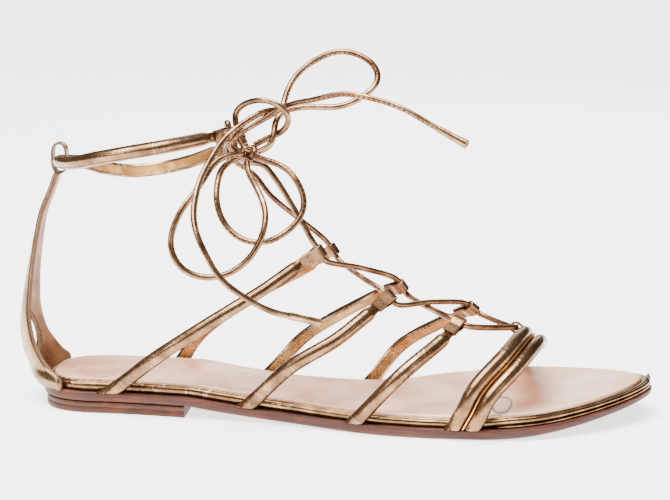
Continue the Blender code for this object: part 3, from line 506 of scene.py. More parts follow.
def tipPiece(name, start, heading, first, last):
    # a strip of leather rolled round the lace's end: its free edge shows, and its end is open
    length, wall, depth = lace["tipLength"], 0.45 * mm, 2.2 * mm
    steps, turns = 24, 40
    side = squareTo(Vector((0.2, -1, 0.4)), heading)
    other = heading.cross(side)
    profile = [(0.0, first * 0.8), (0.15 * mm, first * 0.97)]
    for k in range(steps + 1):
        t = k / steps
        waist = 1 - 0.05 * math.sin(math.pi * min(1, t * 1.6)) + 0.02 * math.sin(9 * t)
        profile.append((0.4 * mm + (length - 0.6 * mm) * t, (first + (last - first) * t**2) * waist))
    profile += [(length, last - 0.15 * mm), (length, last - wall), (length - depth, last - wall),
                (length - depth, 0.2 * mm)]
    rings = []
    for reach, radius in profile:
        ring = []
        for k in range(turns):
            turn = k / turns
            lap = 0.16 * mm * (1 - turn) if radius > wall else 0  # the overlap's step
            angle = 2 * math.pi * turn
            ring.append(start + heading * reach
                        + (side * math.cos(angle) + other * math.sin(angle)) * (radius + lap))
        rings.append(ring)
    return loft(name, rings, sharp=30)


def knotPiece(name):
    # a tight overhand knot: the lace passes twice round itself
    size, depth, steps = 0.95 * mm, 1.25 * mm, 90
    path = []
    for k in range(steps + 1):
        t = 2 * math.pi * k / steps
        path.append(knotMiddle + Vector((
            size * (math.sin(t) + 2 * math.sin(2 * t)), -depth * math.sin(3 * t),
            size * (math.cos(t) - 2 * math.cos(2 * t)))))
    sections = [ovalSection(lace["width"] / 2, 0.9, lace["sides"])] * len(path)
    return loft(name, swept(path, [p - knotMiddle + Vector((0, 1e-5, 0)) for p in path], sections))


knot = knotPiece("tied_knot")
finishPiece(knot, "lace_leather", ["lace_knot"], laceGold)
for name, leaves, comesBack, points in bowRoutes:
    route = inMetres(points)
    if leaves:
        route.insert(0, atKnot(route[0]))
    if comesBack:
        route.append(atKnot(route[-1]))
    path = eased(route, lace["easingStep"], lace["easing"], lace["spacing"])
    piece = cordPiece(name + "_lace", path, lace["width"] / 2)
    finishPiece(piece, "lace_leather", [name], laceGold)
    carried = [knot] if name == bowRoutes[0][0] else []
    if name in tipSizes:
        node, first, last = tipSizes[name]
        heading = (route[-1] - route[-2]).normalized()
        tip = tipPiece(node + "_sleeve", route[-1], heading, first, last)
        finishPiece(tip, "tip_leather", [node], tipGold)
        carried.append(tip)
print("bow and ends made")

# Sole: sizes and tables
sole = {
    "length": 247.8 * mm,
    "ballHalf": 41 * mm,
    "seatCentre": 31.3 * mm,
    "heelLength": 62.3 * mm,
    "heelHeight": 4.6 * mm,
    "heelInset": 1.0 * mm,
    "toeSpring": 9.0 * mm,
    "outsoleThickness": 4.0 * mm,
    "midsoleThickness": 3.4 * mm,
    "midsoleInset": 1.9 * mm,
    "toeLayerThickness": 0.9 * mm,
    "toeLayerStart": 0.741,
    "toeLayerLift": 0.08,
    "gather": 1.3 * mm,
    "gatherStart": 0.86,
    "insoleThickness": 1.0 * mm,
    "insoleInset": 4.4 * mm,
    "clearance": 0.3 * mm,
    "heelRound": 0.110,
    "toeRound": 0.255,
    "stations": 150,
    "columns": 30,
}
outlineRows = [
    # along, outer, inner: half widths as shares of ballHalf
    (0.00, 0.62, 0.56),
    (0.105, 0.62, 0.56),
    (0.164, 0.64, 0.55),
    (0.244, 0.70, 0.50),
    (0.353, 0.78, 0.37),
    (0.433, 0.88, 0.29),
    (0.513, 1.02, 0.28),
    (0.592, 1.13, 0.42),
    (0.662, 1.17, 0.70),
    (0.731, 1.17, 0.86),
    (0.811, 1.13, 0.91),
    (0.881, 1.04, 0.87),
    (1.00, 0.86, 0.74),
]
undersideRows = [
    # along, height as a share of toeSpring
    (0.00, 0.51),
    (0.251, 0.51),
    (0.304, 0.36),
    (0.363, 0.21),
    (0.433, 0.10),
    (0.503, 0.03),
    (0.557, 0.00),
    (0.721, 0.00),
    (0.771, 0.05),
    (0.821, 0.18),
    (0.881, 0.42),
    (0.940, 0.70),
    (1.00, 1.00),
]
thinningRows = [
    # along, outsole, midsole: shares of the full thickness
    (0.00, 1.02, 1.00),
    (0.304, 1.02, 1.00),
    (0.552, 1.02, 0.87),
    (0.751, 1.02, 0.76),
    (0.881, 0.77, 0.60),
    (1.00, 0.58, 0.52),
]


def shape(rows, column, share):
    # a table's column at a share of the length, smooth and without overshoot
    xs = [row[0] for row in rows]
    ys = [row[column] for row in rows]
    share = min(max(share, xs[0]), xs[-1])
    slopes = [(ys[k + 1] - ys[k]) / (xs[k + 1] - xs[k]) for k in range(len(xs) - 1)]
    tangents = [slopes[0]]
    for before, after in zip(slopes, slopes[1:]):
        tangents.append(2 * before * after / (before + after) if before * after > 0 else 0)
    tangents.append(slopes[-1])
    i = max(k for k in range(len(slopes)) if xs[k] <= share)
    step = xs[i + 1] - xs[i]
    t = (share - xs[i]) / step
    return (ys[i] * (2 * t**3 - 3 * t**2 + 1) + tangents[i] * step * (t**3 - 2 * t**2 + t)
            + ys[i + 1] * (3 * t**2 - 2 * t**3) + tangents[i + 1] * step * (t**3 - t**2))


def along(share):
    return share * sole["length"] - sole["seatCentre"]


def shareAt(x):
    return (x + sole["seatCentre"]) / sole["length"]


def rounding(share):
    if share < sole["heelRound"]:
        return max(0, 1 - (1 - share / sole["heelRound"]) ** 2.5) ** (1 / 2.5)
    if share > 1 - sole["toeRound"]:
        return max(0, 1 - ((share - 1 + sole["toeRound"]) / sole["toeRound"]) ** 2.3) ** (1 / 1.75)
    return 1.0


def edge(share, side):
    return side * shape(outlineRows, 1 if side < 0 else 2, share) * sole["ballHalf"] * rounding(share)


def inward(share, side):
    small = 0.0015
    before, after = max(share - small, 0), min(share + small, 1)
    run = Vector((along(after) - along(before), edge(after, side) - edge(before, side)))
    return Vector((run.y, -run.x)).normalized() * side


def movedIn(share, side, inset):
    return Vector((along(share), edge(share, side))) + inward(share, side) * inset


def underside(x):
    return shape(undersideRows, 1, shareAt(x)) * sole["toeSpring"]


def outsoleTop(x):
    return underside(x) + sole["outsoleThickness"] * shape(thinningRows, 1, shareAt(x))


def toeLayerTop(x):
    rise = held((shareAt(x) - sole["toeLayerStart"]) / sole["toeLayerLift"] + 0.5)
    rise = rise * rise * (3 - 2 * rise)
    return outsoleTop(x) + rise * (sole["clearance"] + sole["toeLayerThickness"])


def midsoleTop(x):
    return toeLayerTop(x) + sole["clearance"] + sole["midsoleThickness"] * shape(thinningRows, 2, shareAt(x))


def insoleTop(x):
    return midsoleTop(x) + sole["clearance"] + sole["insoleThickness"]


def edgePoint(share, side, inset):
    if share in (0, 1):
        return Vector((along(share) + inset * (1 - 2 * share), 0))
    return movedIn(share, side, inset)


def soleShares(start, end):
    count = sole["stations"]
    shares = []
    for i in range(count + 1):
        even = i / count
        crowded = (1 - math.cos(math.pi * even)) / 2
        shares.append(start + (end - start) * (0.35 * even + 0.65 * crowded))
    return shares


def solePiece(name, inset, low, high, wall, start=0.0, end=1.0, relief=None, gather=None):
    # a ring at each station: the top from the outer to the inner side, then down that wall, under,
    # and up the outer wall; wall holds insets in mm and shares of the height, from the top down
    columns = sole["columns"]
    rings = []
    for share in soleShares(start, end):
        forward = gather(share) if gather else 0
        sides = []
        for side in (-1, 1):
            line = []
            for step, rise in wall:
                spot = edgePoint(share, side, inset + step * mm - forward)
                bottom = low(spot.x)
                line.append(Vector((spot.x, spot.y, bottom + rise * (high(spot.x) - bottom))))
            sides.append(line)
        outer, inner = sides
        ring = []
        for k in range(columns + 1):
            t = k / columns
            spot = outer[0].lerp(inner[0], t)
            if relief:
                spot.z += relief(spot) * min(1, 24 * t * (1 - t))
            ring.append(spot)
        rings.append(ring + inner[1:] + outer[:0:-1])
    return loft(name, rings, sharp=50)


heelEnd = sole["heelLength"] / sole["length"]


def outsoleBottom(x):
    return underside(x) + (sole["clearance"] / 2 if shareAt(x) < heelEnd + 0.02 else 0)


def toeGather(share):
    # the wrapped layers come forward at the toe, almost flush with the outsole
    return sole["gather"] * held((share - sole["gatherStart"]) / (1 - sole["gatherStart"])) ** 2


sock = {
    "dish": 0.9 * mm,
    "crease": 0.18 * mm,
    "stitchPitch": 3.2 * mm,
    "stitch": 1.9 * mm,
    "stitchThick": 0.24 * mm,
    "stitchOut": 0.25 * mm,  # from the sock's edge
}
sockCreases = ((112, 0.20, 1.3), (119, 0.26, 1.1), (127, 0.15, 1.4), (141, 0.32, 1.2))  # place, lean, width


def footRelief(spot):
    # the foot's print: a shallow seat, the ball and toes, and creases across the ball
    x, y = spot.x / mm, spot.y / mm
    seat = math.exp(-((x - 2) / 26) ** 2 - (y / 14) ** 2)
    ball = math.exp(-((x - 136) / 26) ** 2 - ((y + 4) / 24) ** 2)
    soft = noise.noise(Vector((x / 30, y / 14, 3.1))) * 0.35
    creases = 0.0
    for place, lean, width in sockCreases:
        away = (x - place - lean * y - 2.5 * noise.noise(Vector((y / 11, place, 0)))) / width
        creases += math.exp(-away * away) * (0.55 + 0.45 * noise.noise(Vector((y / 9, place, 7))))
    return -sock["dish"] * (0.7 * seat + 0.55 * ball) + soft * 0.5 * mm - sock["crease"] * creases


heel = solePiece("stacked_heel", sole["heelInset"],
                 lambda x: 0, lambda x: sole["heelHeight"] - sole["clearance"] / 2,
                 [(0.15, 1.0), (0.0, 0.94), (0.0, 0.60), (0.18, 0.56), (0.0, 0.52), (0.0, 0.12),
                  (0.25, 0.0)], end=heelEnd)
finishPiece(heel, "stacked_heel_leather", ["heel_block"], heelBrown)
outsole = solePiece("leather_outsole", 0, outsoleBottom, outsoleTop,
                    [(0.35, 1.0), (0.05, 0.93), (0.0, 0.80), (0.05, 0.55), (0.0, 0.35), (0.25, 0.17),
                     (1.44, 0.0)])
finishPiece(outsole, "sole_leather", ["outsole"], outsoleBrown)
toeLayer = solePiece("toe_layer_wrap", sole["midsoleInset"],
                     lambda x: outsoleTop(x) + sole["clearance"] * 0.3, toeLayerTop,
                     [(0.5, 1.0), (0.12, 0.86), (0.0, 0.5), (0.12, 0.14), (0.5, 0.0)],
                     start=sole["toeLayerStart"] + sole["toeLayerLift"] / 5, gather=toeGather)
finishPiece(toeLayer, "gold_leather", ["toe_layer"], edgeGold)
# from the sock's edge outward and down: margin, groove, rounded bulge, then in under it
midsole = solePiece("wrapped_midsole", sole["midsoleInset"],
                    lambda x: toeLayerTop(x) + sole["clearance"] * 0.5, midsoleTop,
                    [(3.2, 0.95), (2.5, 1.02), (2.0, 1.06), (1.75, 1.02), (1.6, 0.86), (1.45, 0.80),
                     (1.3, 0.84), (1.05, 0.92), (0.75, 0.94), (0.42, 0.86), (0.18, 0.74), (0.04, 0.60),
                     (0.0, 0.46), (0.06, 0.30), (0.28, 0.14), (0.9, 0.0)], gather=toeGather)
lobes = []
for across, rise, size in ((-1.4, 0.2, 1.05), (0.7, 0.5, 0.95)):  # the wrap is gathered in two lobes
    tip = (along(1) - 1.6 * mm, across * mm, midsoleTop(along(1)) + rise * mm)
    bpy.ops.mesh.primitive_uv_sphere_add(segments=20, ring_count=12, radius=size * mm, location=tip,
                                         scale=(0.8, 0.7, 1))
    bpy.ops.object.transform_apply(location=True, rotation=True, scale=True)
    bpy.ops.object.shade_smooth()
    lobes.append(bpy.context.object)
midsole = joined("wrapped_midsole", [midsole, *lobes])
finishPiece(midsole, "gold_leather", ["midsole"], edgeGold)
insole = solePiece("sock_leather", sole["insoleInset"], lambda x: midsoleTop(x) - 0.2 * mm, insoleTop,
                   [(0.85, 1.0), (0.45, 0.97), (0.15, 0.85), (0.0, 0.60), (0.0, 0.0)], relief=footRelief)
finishPiece(insole, "insole_leather", ["insole"], sockPink)
print("sole made")

# Upper: sizes and tables
upper = {
    "instepHeight": 60 * mm,
    "strapWidth": 5.8 * mm,
    "strapThickness": 3.9 * mm,
    "footThickness": 2.6 * mm,
    "footLean": 0.84,
    "footGap": 0.7 * mm,
    "footBuried": 4.5 * mm,
    "footTurn": 14 * mm,
    "footMiddle": (0.12, 0.12),
    "liningCorner": 0.18,
    "tabWidth": 4.8 * mm,
    "tongue": 1.1 * mm,  # the strap's end inside its folded band
    "tabLength": 7.5 * mm,
    "tabTaper": 4 * mm,
    "loopTurn": 24 * mm,
    "loopWall": 0.9 * mm,
    "loopReach": 0.6,
    "strapSpacing": 4.8 * mm,
    "vampSpacing": 5.0 * mm,
    "vampGap": 0.9 * mm,
    "vampHoldDrop": 0.8 * mm,
    "vampTilt": 0.5,
    "holdRow": 4,
    "fine": 0.9 * mm,  # between the rings of the finished straps
    "wrinkle": 0.10 * mm,
    "wrinkleLength": 1.5 * mm,
    "swell": 0.10 * mm,
    "swellLength": 9 * mm,
    "lip": 0.32 * mm,  # the turned edge on each side of the lining
    "fold": (0.34 * mm, 0.70),  # half its width, and its height as a share of the tubes'
    "overOutsole": 0.12 * mm,
    "tabGap": 2.2 * mm,  # the rolled part ends this far from the loop
    "sideLegs": (7.2, 8.6),  # mm that a folded band runs back inside and outside
    "vampLegs": (8.6, 5.2),
    "sideSewn": 5.4 * mm,  # from the loop to the stitches across its band
}
boreRadius = lace["diameter"] / 2 + lace["room"]
loopRadius = boreRadius + upper["loopWall"]
sideStraps = [
    # name, side, along at the sole, then along, across, up; the last row is the loop
    ("lateral_strap_1", -1, 0.128, [(0.199, -0.73, 0.390), (0.281, -0.71, 0.620),
                                    (0.373, -0.54, 0.852), (0.438, -0.37, 1.025),
                                    (0.459, -0.32, 1.080)]),
    ("lateral_strap_2", -1, 0.355, [(0.429, -0.93, 0.412), (0.499, -0.85, 0.588),
                                    (0.544, -0.60, 0.718), (0.574, -0.40, 0.795)]),
    ("lateral_strap_3", -1, 0.532, [(0.604, -1.07, 0.400), (0.662, -0.74, 0.577),
                                    (0.687, -0.50, 0.655)]),
    ("medial_strap_1", 1, 0.204, [(0.243, 0.54, 0.385), (0.333, 0.42, 0.670),
                                  (0.422, 0.22, 0.900), (0.473, 0.11, 1.040)]),
    ("medial_strap_2", 1, 0.358, [(0.416, 0.49, 0.368), (0.467, 0.46, 0.522),
                                  (0.552, 0.27, 0.735), (0.586, 0.15, 0.800)]),
    ("medial_strap_3", 1, 0.530, [(0.585, 0.49, 0.343), (0.647, 0.37, 0.520),
                                  (0.702, 0.17, 0.655)]),
]
vampRows = [
    # along, across, up, between the two ends at the sole
    (0.714, -1.19, 0.170),
    (0.731, -1.16, 0.310),
    (0.772, -0.90, 0.475),
    (0.801, -0.50, 0.565),
    (0.808, -0.20, 0.545),
    (0.807, 0.05, 0.495),
    (0.803, 0.30, 0.440),
    (0.791, 0.64, 0.350),
    (0.776, 0.885, 0.215),
]
vampFeet = ((0.702, 0.5), (0.763, -0.1))
laceOrder = (
    ("lateral_strap_1", "medial_strap_2", "lateral_strap_3"),
    ("medial_strap_1", "lateral_strap_2", "medial_strap_3"),
)


def placed(row):
    return Vector((along(row[0]), row[1] * sole["ballHalf"], row[2] * upper["instepHeight"]))


def footRise(share, side, lean):
    points = []
    inset = sole["midsoleInset"] - upper["footGap"] - upper["footThickness"] / 2
    for height in (-upper["footBuried"], sole["midsoleThickness"]):
        spot = movedIn(share + lean * height / sole["length"], side, inset)
        points.append(Vector((spot.x, spot.y, outsoleTop(spot.x) + sole["clearance"] + height)))
    return points


def outwardAt(point):
    across, up = upper["footMiddle"]
    middle = Vector((point.x, -across * sole["ballHalf"], up * upper["instepHeight"]))
    direction = point - middle
    direction.x = 0
    return direction.normalized()


def nearFoot(done):
    # 1 at the strap's foot, 0 where it has turned outward
    return held(1 - (done - upper["footBuried"]) / upper["footTurn"])


def thicknessAt(done):
    return upper["strapThickness"] + (upper["footThickness"] - upper["strapThickness"]) * nearFoot(done)


def facingAt(point, side, done, tilt=0.0):
    above = outwardAt(point)
    above.x = tilt * above.z
    below = -inward(shareAt(point.x), side).to_3d()
    return above.lerp(below, nearFoot(done)).normalized()


def narrowed(width, thickness, left):
    # toward its end a strap narrows into its folded band
    tab = max(0, 1 - max(left - upper["tabLength"], 0) / upper["tabTaper"])
    tab = tab * tab * (3 - 2 * tab)
    return (width + (upper["tabWidth"] - 0.5 * mm - width) * tab,
            thickness + (upper["tongue"] - thickness) * tab)


def rolledSection(width, thickness, crumple, lobes=1, steps=13):
    # flat lining inside between two lips, then the rolled outside in one or two tubes
    corner, lip = upper["liningCorner"] * thickness, upper["lip"]
    low = -thickness / 2
    half = width / 2 - corner
    points = [(-half + lip + (2 * (half - lip)) * k / 4, low + lip * 0.8) for k in range(5)]
    points.append((half, low))
    gap = upper["vampGap"] * (lobes - 1)
    lobe = (width - gap) / lobes
    for n in range(lobes):
        centre = width / 2 - lobe / 2 - n * (lobe + gap)
        for k in range(steps):
            turn = math.pi * k / (steps - 1)
            depth = (thickness - corner) * math.sin(turn) ** 0.9
            push = 1 + crumple[n] * math.sin(turn)
            points.append((centre + lobe / 2 * math.cos(turn), low + corner + depth * push))
        if lobes == 2 and n == 0:  # the thin fold between the tubes, its brighter gold a painted highlight
            fold, height = upper["fold"]
            top = low + corner + height * (thickness - corner)
            root, foldStart = low + corner + 0.2 * (thickness - corner), len(points)
            points += [(fold, root), (fold, top - 0.2 * mm), (0.2 * mm, top), (-0.2 * mm, top),
                       (-fold, top - 0.2 * mm), (-fold, root)]
    points.append((-half, low))
    slots = [1] * 4 + [0] * (len(points) - 4)
    if lobes == 2:
        slots[foldStart:foldStart + 5] = [2] * 5
    return points, slots


def crumpled(name, distance, thickness):
    # how far the rolled leather stands proud in fine wrinkles, as a share of its thickness
    seed = sum(ord(letter) for letter in name) % 97
    first, second = (noise.noise(Vector((distance / upper["wrinkleLength"], seed, row))) for row in (0, 9))
    broad = noise.noise(Vector((distance / upper["swellLength"], seed, 5)))
    return [(upper["wrinkle"] * first + upper["swell"] * broad) / thickness,
            upper["wrinkle"] * second / thickness]


def trimmed(rings):
    # nothing reaches below the outsole's upper face, where the strap goes in beside the midsole
    kept = []
    for ring in rings:
        for point in ring:
            point.z = max(point.z, outsoleTop(point.x) + upper["overOutsole"])
        flatRing = all(abs(p.z - outsoleTop(p.x) - upper["overOutsole"]) < 0.01 * mm for p in ring)
        kept.append((ring, flatRing))
    first = max([i for i, (ring, gone) in enumerate(kept) if gone and i < len(kept) / 2], default=0)
    last = min([i for i, (ring, gone) in enumerate(kept) if gone and i > len(kept) / 2],
               default=len(kept) - 1)
    return [ring for ring, gone in kept[first:last + 1]]


def bevelled(half, thick, bend):
    # a flat band's section with its corners taken off
    return [(-half, -thick + bend), (-half + bend, -thick), (half - bend, -thick), (half, -thick + bend),
            (half, thick - bend), (half - bend, thick), (-half + bend, thick), (-half, thick - bend)]


def foldedBand(name, centre, ahead, outward, axis, legs):
    # the flat band folded round the lace: in along the lining, round, and back along the outside
    middle = (boreRadius + upper["loopWall"] / 2) / mm
    inner, outer = legs
    lines = [(-inner, -0.95), (-inner * 0.6, -1.0), (-3.2, -1.2), (-1.4, -middle * 0.93)]
    for k in range(5):
        t = math.radians(22 + 34 * k)
        lines.append((middle * math.sin(t), -middle * math.cos(t)))
    lines += [(-1.4, middle * 0.93), (-3.2, 1.25), (-outer * 0.6, 1.15), (-outer, 1.0)]
    path = smoothPath([centre + (ahead * a + outward * b) * mm for a, b in lines], 0.45 * mm)
    facing = [axis.cross(tangent(path, i)) for i in range(len(path))]
    section = bevelled(upper["tabWidth"] / 2, upper["loopWall"] / 2, 0.14 * mm)
    return loft(name, swept(path, facing, [section] * len(path)), [0, 0, 0, 1, 0, 0, 0, 1],
                materials=(rolledGold, cutEdge))


def stitches(name, pairs, radius=0.22 * mm):
    # short stitches, each from one point to another, arched a little between them
    made = []
    for number, (start, end, up) in enumerate(pairs):
        path = []
        for t in (0, 0.2, 0.5, 0.8, 1):
            path.append(start.lerp(end, t)
                        + up * (0.55 * radius * math.sin(math.pi * t) - 0.35 * radius * (t in (0, 1))))
        sections = [ovalSection(radius * (0.7 if t in (0, 4) else 1), 1, 6) for t in range(5)]
        made.append(loft(name + str(number), swept(path, [up] * 5, sections)))
    row = joined(name, made)
    row.data.materials.append(thread)
    return row


def loopEnd(name, centre, ahead, outward, axis, legs, back):
    # the folded band, with two small stitches across it
    pairs = []
    for shift in (-0.9, 0.9):
        spot = centre - ahead * back + axis * shift * mm + outward * 1.5 * mm
        pairs.append((spot - axis * 0.6 * mm, spot + axis * 0.6 * mm, outward))
    return [foldedBand(name + "_band", centre, ahead, outward, axis, legs),
            stitches(name + "_stitches", pairs)]


def sideStrap(name, side, base, rows, pull):
    first = placed(rows[0])
    foot = along(base)
    lean = upper["footLean"] * (first.x - foot) / (first.z - midsoleTop(foot))
    anchors = footRise(base, side, lean) + [placed(row) for row in rows]
    coarse = smoothPath(anchors, upper["strapSpacing"])
    ahead = tangent(coarse, len(coarse) - 1)
    axis = squareTo(pull, ahead)
    flatWay = axis.cross(ahead)
    if flatWay.dot(outwardAt(coarse[-1])) < 0:
        flatWay = -flatWay
    centre = coarse[-1] + ahead * upper["loopReach"] * loopRadius
    path = smoothPath(anchors, upper["fine"])
    total = pathLength(path)
    facing, sections, used = [], [], []
    done = 0.0
    for i, point in enumerate(path):
        if i:
            done += (point - path[i - 1]).length
        if total - done < upper["tabGap"]:
            break
        turn = held(1 - (total - done) / upper["loopTurn"])
        facing.append(facingAt(point, side, done).lerp(flatWay, turn).normalized())
        width, thickness = narrowed(upper["strapWidth"], thicknessAt(done), total - done)
        section, slots = rolledSection(width, thickness, crumpled(name, done, thickness))
        sections.append(section)
        used.append(point)
    body = loft(name + "_rolled", trimmed(swept(used, facing, sections)), slots, sharp=35,
                materials=(rolledGold, lining))
    end = loopEnd(name, centre, ahead, flatWay, axis, upper["sideLegs"], upper["sideSewn"])
    whole = joined(name + "_rolled", [body, *end])
    finishPiece(whole, "gold_leather", [name])
    return centre, axis


loopPlaces = {name: placed(rows[-1]) for name, side, base, rows in sideStraps}
pulls = {}
for order in laceOrder:
    stops = [knotMiddle] + [loopPlaces[name] for name in order] + [placed(vampRows[upper["holdRow"]])]
    for before, name, after in zip(stops, order, stops[2:]):
        pulls[name] = after - before
loops = {}
for name, side, base, rows in sideStraps:
    loops[name] = sideStrap(name, side, base, rows, pulls[name])
print("side straps made")


def vampStrap():
    (outerFoot, outerLean), (innerFoot, innerLean) = vampFeet
    anchors = footRise(outerFoot, -1, outerLean) + [placed(row) for row in vampRows]
    anchors += footRise(innerFoot, 1, innerLean)[::-1]
    width = 2 * upper["strapWidth"] + upper["vampGap"]

    def facings(path, spacing):
        ends = len(path) - 1
        return [facingAt(point, -1 if 2 * i < ends else 1, min(i, ends - i) * spacing, upper["vampTilt"])
                for i, point in enumerate(path)]

    coarse = smoothPath(anchors, upper["vampSpacing"])
    hold = placed(vampRows[upper["holdRow"]]).y
    middle = min(range(len(coarse)), key=lambda i: abs(coarse[i].y - hold))
    ahead = tangent(coarse, middle)
    outward = squareTo(facings(coarse, upper["vampSpacing"])[middle], ahead)
    backward = outward.cross(ahead)
    if backward.x > 0:
        backward = -backward
    centre = (coarse[middle] + backward * (width / 2 + upper["loopReach"] * loopRadius)
              - outward * upper["vampHoldDrop"])
    path = smoothPath(anchors, upper["fine"])
    ends = len(path) - 1
    spacing = pathLength(path) / ends
    sections = []
    for i in range(len(path)):
        thickness = thicknessAt(min(i, ends - i) * spacing)
        section, slots = rolledSection(width, thickness, crumpled("vamp", i * spacing, thickness), lobes=2)
        sections.append(section)
    body = loft("vamp_strap_rolled", trimmed(swept(path, facings(path, spacing), sections)), slots, sharp=35,
                materials=(rolledGold, lining, foldGold))
    band = foldedBand("vamp_band", centre, backward, outward, ahead, upper["vampLegs"])
    whole = joined("vamp_strap_rolled", [body, band])
    finishPiece(whole, "gold_leather", ["vamp_strap"])
    return centre, ahead


vampLoop = vampStrap()
print("vamp strap made")

# Heel stay
stay = {
    "thickness": 2.2 * mm,
    "height": 93.8 * mm,
    "linkWall": 1.2 * mm,
    "linkRoom": 1.3 * mm,
    "linkFit": 0.25 * mm,  # the finished loop lies this close to the strap
    "linkThin": 0.8 * mm,
    "linkShift": 1.5 * mm,  # toward the inner side
    "linkSquare": 0.72,
    "linkSlack": 2.6 * mm,
    "innerBend": 0.70,
    "reach": (0.046, 0.022),
    "slit": (0.175, 0.385),
    "slitHalf": 7.5 * mm,
    "slitShift": 2.0 * mm,
    "slitTaper": 0.30,
    "cutter": (-0.6, 0.02),  # how far back and forward the slit is cut, as shares of ballHalf
    "bead": 0.62 * mm,  # radius of the rolled edges at the sides and round the slit
    "slitBead": 0.5 * mm,
    "linkSteps": 48,
    "start": 0.012,  # the finished piece begins this share above the lowest row
    "beadAcross": 0.96,
    "beadRows": 70,
    "thinFrom": 0.9,
    "thinning": 3.5,
    "rows": 84,
    "columns": 30,
}
stayRows = [
    # up, back, half width and bend
    (0.075, 0.000, 0.490, 0.365),
    (0.125, -0.100, 0.490, 0.360),
    (0.165, -0.155, 0.445, 0.300),
    (0.211, -0.190, 0.410, 0.245),
    (0.280, -0.220, 0.340, 0.180),
    (0.357, -0.226, 0.290, 0.136),
    (0.490, -0.187, 0.215, 0.090),
    (0.660, -0.105, 0.150, 0.045),
    (0.820, -0.015, 0.105, 0.020),
    (0.950, 0.115, 0.068, 0.005),
    (1.000, 0.158, 0.060, 0.000),
]
ankle = {
    "width": 5.6 * mm,
    "thickness": 4.6 * mm,
    "spacing": 5.4 * mm,
    "middle": 0.16,
    "backRow": 6,
    "legs": (7.0, 7.6),
    "sewn": 5.0 * mm,
}
ankleRows = [
    # along, across, rise, from the lace end on the outer side round the heel to the inner one
    (0.312, -0.22, 0.215),
    (0.282, -0.42, 0.196),
    (0.226, -0.68, 0.165),
    (0.169, -0.70, 0.125),
    (0.115, -0.62, 0.080),
    (0.067, -0.42, 0.030),
    (0.029, 0.00, 0.000),
    (0.055, 0.28, -0.030),
    (0.087, 0.47, -0.085),
    (0.130, 0.62, -0.115),
    (0.179, 0.65, -0.095),
    (0.232, 0.54, -0.040),
    (0.280, 0.33, 0.040),
    (0.309, 0.145, 0.088),
]


def stayPoint(share, across):
    back = along(0) + shape(stayRows, 1, share) * sole["ballHalf"]
    half = shape(stayRows, 2, share) * sole["ballHalf"]
    bend = shape(stayRows, 3, share) * sole["ballHalf"] * (stay["innerBend"] if across > 0 else 1)
    spot = Vector((back + bend * across**2, half * across))
    low = held((stayRows[2][0] - share) / (stayRows[2][0] - stayRows[1][0]))
    side = -1 if across < 0 else 1
    inset = sole["midsoleInset"] - upper["footGap"] - stay["thickness"] / 2
    if abs(across) > 1e-6:
        foot = movedIn(stay["reach"][side > 0] * across**2, side, inset)
    else:
        foot = Vector((along(0) + inset, 0))
    foot.x += (back - along(0)) * (1 - across**2)
    spot = spot.lerp(foot, low)
    return Vector((spot.x, spot.y, share * stay["height"]))


def stayNormal(share, across):
    small = 0.01
    up = stayPoint(min(share + small, 1), across) - stayPoint(max(share - small, 0), across)
    sideways = stayPoint(share, min(across + small, 1)) - stayPoint(share, max(across - small, -1))
    return sideways.cross(up).normalized() * -1


def anklePlace(row):
    back = stay["height"] + stay["linkWall"] / 2 + stay["linkRoom"] + ankle["width"] / 2
    return Vector((along(row[0]), row[1] * sole["ballHalf"], back + row[2] * upper["instepHeight"]))

def slitPoint(turn):
    low, high = stay["slit"]
    height = (low + high) / 2 + (high - low) / 2 * math.sin(turn)
    taper = 1 - stay["slitTaper"] * math.sin(turn)
    return stay["slitShift"] + stay["slitHalf"] * math.cos(turn) * taper, height * stay["height"]


def slitCutter():
    rings = []
    for back in stay["cutter"]:
        x = along(0) + back * sole["ballHalf"]
        rings.append([Vector((x, *slitPoint(2 * math.pi * k / 40))) for k in range(40)])
    return loft("slit_cutter", rings, materials=(cutEdge,))


def stayLink():
    # the top loop round the ankle strap
    centre = anklePlace(ankleRows[ankle["backRow"]]) + Vector((0, stay["linkShift"], 0))
    halfX = ankle["thickness"] / 2 + stay["linkFit"] + stay["linkThin"] / 2
    halfZ = ankle["width"] / 2 + stay["linkRoom"] + stay["linkWall"] / 2
    section = bevelled(stayRows[-1][2] * sole["ballHalf"], stay["linkThin"] / 2, 0.2 * mm)
    rings = []
    for k in range(stay["linkSteps"]):
        turn = 2 * math.pi * k / stay["linkSteps"]
        c, s = math.cos(turn), math.sin(turn)
        over = halfX * math.copysign(abs(c) ** stay["linkSquare"], c)
        rise = halfZ * math.copysign(abs(s) ** stay["linkSquare"], s) + stay["linkSlack"] * (1 + s) / 2
        spot = centre + Vector((over, 0, rise))
        away = Vector((c / halfX, 0, s / halfZ)).normalized()
        rings.append([spot + Vector((0, a, 0)) + away * b for a, b in section])
    return loft("link", rings, [2, 1, 2, 2, 2, 0, 2, 2], closedAlong=True,
                materials=(stayGold, heelLining, cutEdge))


